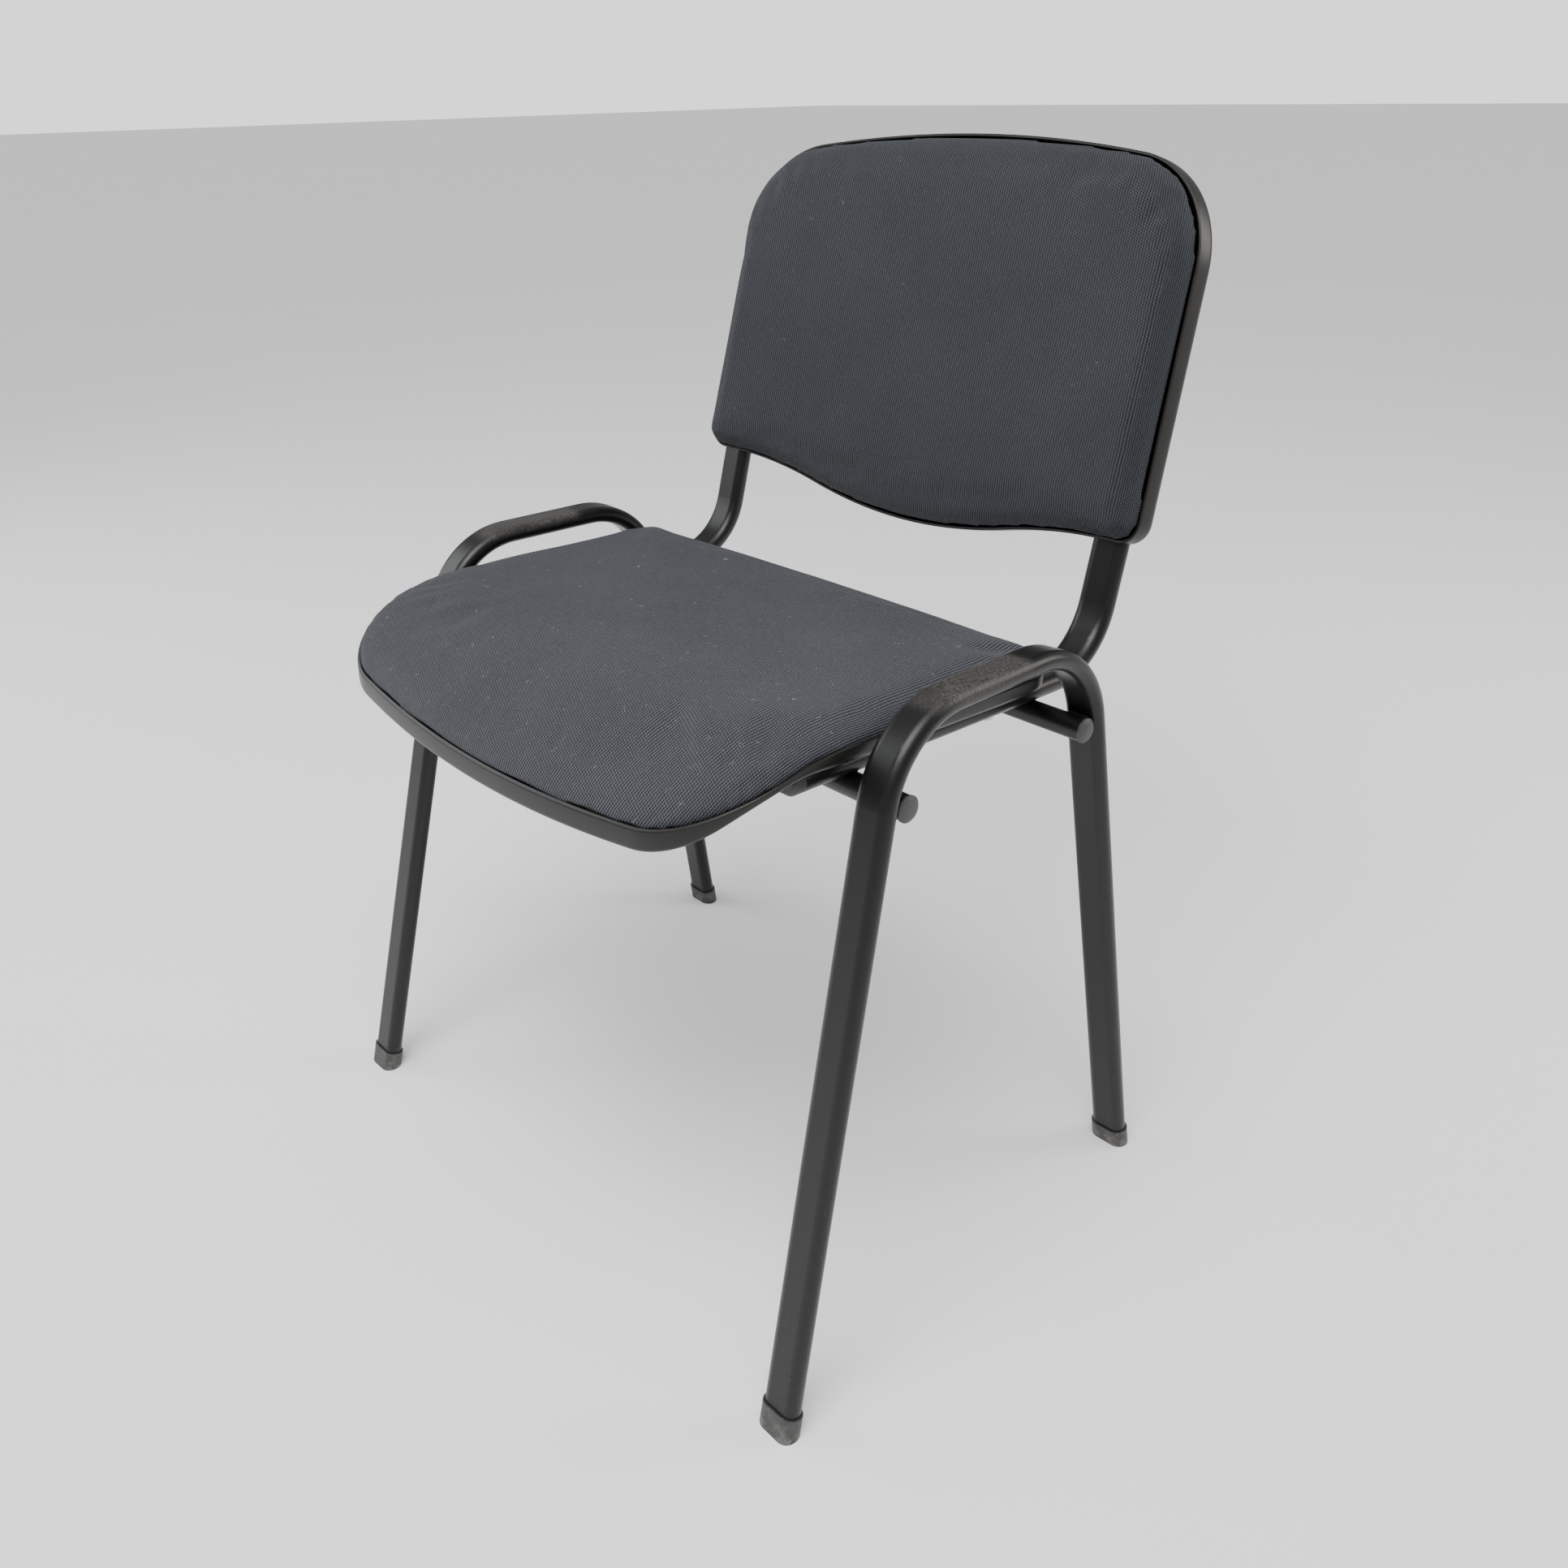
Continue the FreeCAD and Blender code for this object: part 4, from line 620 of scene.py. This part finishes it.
def cloth_material(name, dark, light, lint):
    """Rib weave: columns of slanted stitches, every second column half a stitch on. The dark colour is
    painted shade down in the grooves, the light one the yarn tops.
    """
    rib = 2.35 * MM
    stitch = 2.1 * MM
    paint = Paint(name)
    flat = paint.node("ShaderNodeAttribute", {"attribute_name": "weave"}, output="Vector")
    drift = paint.node("ShaderNodeTexNoise", inputs={"Vector": flat, "Scale": 45.0, "Detail": 1.0},
                       output="Color")
    wander = paint.node("ShaderNodeVectorMath", {"operation": "SCALE"}, {0: drift, "Scale": 1.2 * MM})
    moved = paint.node("ShaderNodeVectorMath", {"operation": "ADD"}, [flat, wander])
    x, y, _ = paint.parts(moved)
    across = x / rib
    column = across.math("FLOOR")
    side = across - column - 0.5
    odd = (column * 0.5).math("FRACT")
    along = y / stitch + odd + side * 0.9
    cell = along.math("FLOOR")
    way = along - cell - 0.5
    ridge = (side * math.pi).math("COSINE")
    lump = (way * math.pi).math("COSINE")
    yarn = ridge * (lump * 0.6 + 0.4)
    tint = paint.node("ShaderNodeTexWhiteNoise", {"noise_dimensions": "2D"},
                      {"Vector": paint.join(column, cell)})
    broad = paint.noise(flat, 9.0, 4.0)
    fuzz = paint.noise(flat, 1400.0, 2.0)
    # painted shade: the colour falls to near black down in the grooves between ribs and stitches; tint and
    # fuzz add random tone
    depth = yarn.above(0.15, 0.9) * 0.8 + tint * 0.2 * yarn + fuzz * 0.1
    base = paint.mix(depth * (broad.above(0.25, 0.75) * 0.25 + 0.85), dark, light)
    # specks, and short curled fibres where a fine contour line crosses a sparse patch
    specks = paint.node("ShaderNodeTexVoronoi", inputs={"Vector": flat, "Scale": 75.0}, output="Distance")
    chosen = paint.node("ShaderNodeTexVoronoi", inputs={"Vector": flat, "Scale": 75.0}, output="Color")
    picked, _, _ = paint.parts(chosen)
    dot = (1 - specks.above(0.02, 0.05)) * picked.above(0.86, 0.88)
    curl = paint.noise(flat, 95.0, 1.0)
    sparse = paint.noise(flat, 130.0, 0.0)
    fibre = curl.near(0.5, 0.0035, 0.004) * sparse.above(0.72 - 0.04 * lint, 0.75 - 0.04 * lint)
    dust = paint.noise(flat, 20.0, 3.0).above(0.45, 0.7)
    white = (dot * 0.7 + fibre * 0.5) * (dust * 0.6 + 0.4) * lint
    colour = paint.mix(white.math("MINIMUM", 1.0), base, (0.35, 0.36, 0.37, 1.0))
    height = yarn + fuzz * 0.15 + white * 0.4
    paint.set(Base_Color=colour, Roughness=0.92 - yarn * 0.1, Sheen_Weight=0.06, Sheen_Roughness=0.5,
              Specular_IOR_Level=0.3, Normal=paint.bump(height, 0.7 * MM))
    return paint.material


def paint_material():
    """Satin black powder coat, with scuffs on the rails and scratches and dust down the legs."""
    paint = Paint("satin_black_coat")
    place = paint.place()
    x, y, z = paint.parts(place)
    peel = paint.noise(place, 900.0, 2.0)
    broad = paint.noise(place, 14.0, 4.0)
    streaks = paint.noise(paint.join(x * 3.0, y * 3.0, z * 0.25), 260.0, 3.0, 0.7)
    nicks = paint.noise(paint.join(x, y * 2.5, z * 0.6), 420.0, 4.0, 0.7)
    low = 1 - z.above(0.02, 0.32)
    rail = z.above(0.495, 0.502) * y.near(-0.045, 0.045, 0.012)
    rub = rail * broad.above(0.3, 0.6) * nicks.above(0.4, 0.62)
    scratch = streaks.above(0.66, 0.72) * (low * 0.8 + 0.12) + nicks.above(0.68, 0.72) * (low * 0.7 + 0.1)
    wear = (rub * 0.55 + scratch * 0.6 + rail * 0.12).math("MINIMUM", 1.0)
    colour = paint.mix(wear, paint.mix(broad, grey(0.0045), grey(0.008, 0.05)), grey(0.1, 0.06))
    rough = broad * 0.16 + 0.22 + wear * 0.3 + peel * 0.05
    paint.set(Base_Color=colour, Roughness=rough, Specular_IOR_Level=0.32,
              Normal=paint.bump(peel - wear * 0.6, 0.06 * MM))
    return paint.material


def plastic_material(name, level, warm, rough, grain, wear):
    """Moulded plastic: a fine leather-like grain, soft scratches and handling marks."""
    paint = Paint(name)
    place = paint.place()
    x, y, z = paint.parts(place)
    fine = paint.node("ShaderNodeTexVoronoi", inputs={"Vector": place, "Scale": 2200.0}, output="Distance")
    broad = paint.noise(place, 18.0, 4.0)
    marks = paint.noise(paint.join(x * 0.5, y * 0.5, z * 3.0), 240.0, 4.0, 0.7)
    worn = marks.above(0.62, 0.74) * wear
    colour = paint.mix((worn + broad * 0.2).math("MINIMUM", 1.0),
                       grey(level, warm), grey(level * 3 + 0.008, warm * 0.5))
    paint.set(Base_Color=colour, Roughness=broad * 0.14 + rough + worn * 0.2, Specular_IOR_Level=0.35,
              Normal=paint.bump(fine * grain + marks * 0.25, 0.06 * MM))
    return paint.material


def foot_material():
    """Black plastic that has gone grey on the floor: pale scuffs, chips and dust at the sole."""
    paint = Paint("worn_foot_plastic")
    place = paint.place()
    _, _, z = paint.parts(place)
    broad = paint.noise(place, 70.0, 5.0, 0.65)
    chips = paint.noise(place, 320.0, 4.0, 0.7)
    low = 1 - z.above(0.0, 0.016)
    worn = (broad.above(0.42, 0.68) * 0.55 + chips.above(0.55, 0.66) * 0.5) * (low * 0.6 + 0.4)
    colour = paint.mix(worn.math("MINIMUM", 1.0), grey(0.028, 0.04), grey(0.2, 0.06))
    paint.set(Base_Color=colour, Roughness=0.5 + worn * 0.35,
              Normal=paint.bump(broad + chips * 0.5, 0.25 * MM))
    return paint.material


def zinc_material():
    """Zinc-plated steel with a faint turned grain and dull spots."""
    paint = Paint("zinc_plated_steel")
    place = paint.place()
    spots = paint.noise(place, 160.0, 4.0)
    grain = paint.noise(place, 2600.0, 2.0)
    colour = paint.mix(spots.above(0.35, 0.7), (0.62, 0.62, 0.6, 1.0), (0.36, 0.36, 0.35, 1.0))
    paint.set(Base_Color=colour, Metallic=1.0, Roughness=spots * 0.3 + 0.22,
              Normal=paint.bump(grain, 0.02 * MM))
    return paint.material


def plywood_material():
    """Raw birch plywood with soft grain and thin plies; it lies inside the cushions."""
    paint = Paint("birch_plywood")
    place = paint.place()
    x, y, z = paint.parts(place)
    grain = paint.noise(paint.join(x * 18.0, y, z * 6.0), 30.0, 5.0, 0.6)
    plies = (z * 4000.0).math("SINE") * 0.5 + 0.5
    colour = paint.mix(grain * 0.8 + plies * 0.2, (0.62, 0.43, 0.25, 1.0), (0.42, 0.26, 0.13, 1.0))
    paint.set(Base_Color=colour, Roughness=grain * 0.2 + 0.6, Normal=paint.bump(grain, 0.1 * MM))
    return paint.material


# ---------------------------------------------------------------- build

seat_pan_piece = seat_pan()
back_shell_piece = back_shell()
seat_board = board("seat_board", SEAT_OUTLINE, seat_surface, (SEAT_ORIGIN, SEAT_TILT), False,
                   lambda x, y: pan_depth(x, y) + PAN_WALL + CLOTH_THICKNESS,
                   lambda x, y: pan_depth(x, y) + PAN_WALL + CLOTH_THICKNESS + SEAT_PLY, "seat_plywood")
back_board = board("back_board", back_outline(300), back_surface, (BACK_ORIGIN, BACK_LEAN), True,
                   lambda x, y: np.full_like(x, BACK_PLY_REAR),
                   lambda x, y: np.full_like(x, BACK_PLY_REAR + BACK_PLY), "back_plywood")
seat_piece = seat_cushion()
back_piece = back_cushion()

coat = paint_material()
moulded = plastic_material("grained_black_plastic", 0.006, 0.12, 0.3, 0.5, 0.25)
capped = plastic_material("dark_grey_cap_plastic", 0.04, 0.03, 0.42, 0.35, 0.5)
footed = foot_material()
plated = zinc_material()
birch = plywood_material()
# one charcoal cloth in two copies: the seat copy is painted lighter, as painted light from above, and the
# back copy darker, as painted shade; the seat also carries more lint
seat_cloth_painted_lit = cloth_material("charcoal_seat_cloth", grey(0.003), (0.075, 0.082, 0.098, 1.0), 1.0)
back_cloth_painted_shade = cloth_material("charcoal_back_cloth", grey(0.0025), (0.045, 0.051, 0.064, 1.0), 0.35)

LOOKS = [
    (("side_frame", "front_cross_tube", "rear_cross_tube", "seat_back_support", "leg_weld",
      "support_weld"), coat),
    (("foot_",), footed),
    (("front_cross_tube_cap", "rear_cross_tube_cap", "support_plug"), capped),
    (("seat_pan", "back_shell", "shell_clips"), moulded),
    (("seat_bolts", "seat_washers", "seat_t_nuts", "back_screws", "back_t_nuts"), plated),
    (("seat_plywood", "back_plywood", "seat_board", "back_board", "seat_foam", "back_foam"), birch),
    (("seat_cover", "seat_cushion"), seat_cloth_painted_lit),
    (("back_cover", "back_cushion"), back_cloth_painted_shade),
]


def dress(piece):
    """Give a piece the material whose list names it; the last match holds."""
    for starts, material in LOOKS:
        if piece.name.startswith(starts):
            chosen = material
    piece.data.materials.clear()
    piece.data.materials.append(chosen)


for piece in [*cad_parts.values(), seat_pan_piece, back_shell_piece, seat_board, back_board,
              seat_piece, back_piece]:
    dress(piece)


# ---------------------------------------------------------------- stage

CAMERA_PLACE = (0.76035, -0.68236, 0.85853)
# yaw, pitch and roll in degrees
CAMERA_TURN = (46.386, 24.827, -1.141)
CAMERA_LENS = 30.934
CAMERA_SHIFT = (-0.0066, -0.0502)
FLOOR_REACH = 40.0


def camera():
    """Above the chair's near front side, looking down at it."""
    yaw, pitch, roll = (math.radians(angle) for angle in CAMERA_TURN)
    back = Vector((math.sin(yaw) * math.cos(pitch), -math.cos(yaw) * math.cos(pitch), math.sin(pitch)))
    right = Vector((math.cos(yaw), math.sin(yaw), 0))
    up = back.cross(right)
    turned_right = math.cos(roll) * right + math.sin(roll) * up
    turned_up = math.cos(roll) * up - math.sin(roll) * right
    axes = Matrix((turned_right, turned_up, back)).transposed()
    data = bpy.data.cameras.new("camera")
    data.lens = CAMERA_LENS
    data.sensor_width = 36
    data.shift_x, data.shift_y = CAMERA_SHIFT
    eye = bpy.data.objects.new("camera", data)
    eye.matrix_world = Matrix.Translation(CAMERA_PLACE) @ axes.to_4x4()
    bpy.context.scene.collection.objects.link(eye)
    bpy.context.scene.camera = eye


def area_light(name, place, aim, size, power, colour=(1, 1, 1)):
    data = bpy.data.lights.new(name, "AREA")
    data.shape = "RECTANGLE"
    data.size, data.size_y = size
    data.energy = power
    data.color = colour
    lamp = bpy.data.objects.new(name, data)
    lamp.location = place
    lamp.rotation_euler = (Vector(aim) - Vector(place)).to_track_quat("-Z", "Y").to_euler()
    bpy.context.scene.collection.objects.link(lamp)


def stage():
    """A dim, even room that the camera sees as a white backdrop, lamps, and a pale floor."""
    world = bpy.data.worlds.new("studio")
    world.use_nodes = True
    tree = world.node_tree
    room = tree.nodes["Background"]
    room.inputs[0].default_value = (0.4, 0.405, 0.415, 1)
    backdrop = tree.nodes.new("ShaderNodeBackground")
    backdrop.inputs[0].default_value = (1, 1, 1, 1)
    backdrop.inputs[1].default_value = 1.6
    seen = tree.nodes.new("ShaderNodeLightPath")
    chosen = tree.nodes.new("ShaderNodeMixShader")
    tree.links.new(seen.outputs["Is Camera Ray"], chosen.inputs[0])
    tree.links.new(room.outputs[0], chosen.inputs[1])
    tree.links.new(backdrop.outputs[0], chosen.inputs[2])
    tree.links.new(chosen.outputs[0], tree.nodes["World Output"].inputs[0])
    bpy.context.scene.world = world
    area_light("key", (0.5, -1.0, 2.4), (0, 0, 0.45), (1.6, 1.2), 50)
    area_light("window", (-2.2, -1.2, 1.6), (0, 0, 0.5), (1.5, 1.8), 30, (0.95, 0.98, 1.0))
    area_light("rim", (1.6, 1.9, 1.5), (0, 0, 0.5), (1.0, 1.2), 25, (1.0, 0.95, 0.9))
    glow = bpy.data.lights.new("ceiling", "SUN")
    glow.energy = 1.7
    glow.angle = math.radians(70)
    ceiling = bpy.data.objects.new("ceiling", glow)
    ceiling.rotation_euler = (math.radians(18), math.radians(12), 0)
    bpy.context.scene.collection.objects.link(ceiling)
    mesh = bpy.data.meshes.new("floor")
    corners = [(x * FLOOR_REACH, y * FLOOR_REACH, 0) for x, y in ((-1, -1), (1, -1), (1, 1), (-1, 1))]
    mesh.from_pydata(corners, [], [(0, 1, 2, 3)])
    floor = bpy.data.objects.new("floor", mesh)
    bpy.context.scene.collection.objects.link(floor)
    paint = Paint("pale_floor")
    speckle = paint.noise(paint.place(), 3.0, 3.0)
    paint.set(Base_Color=paint.mix(speckle, grey(0.9), grey(0.93, 0.005)), Roughness=0.8)
    mesh.materials.append(paint.material)


camera()
stage()
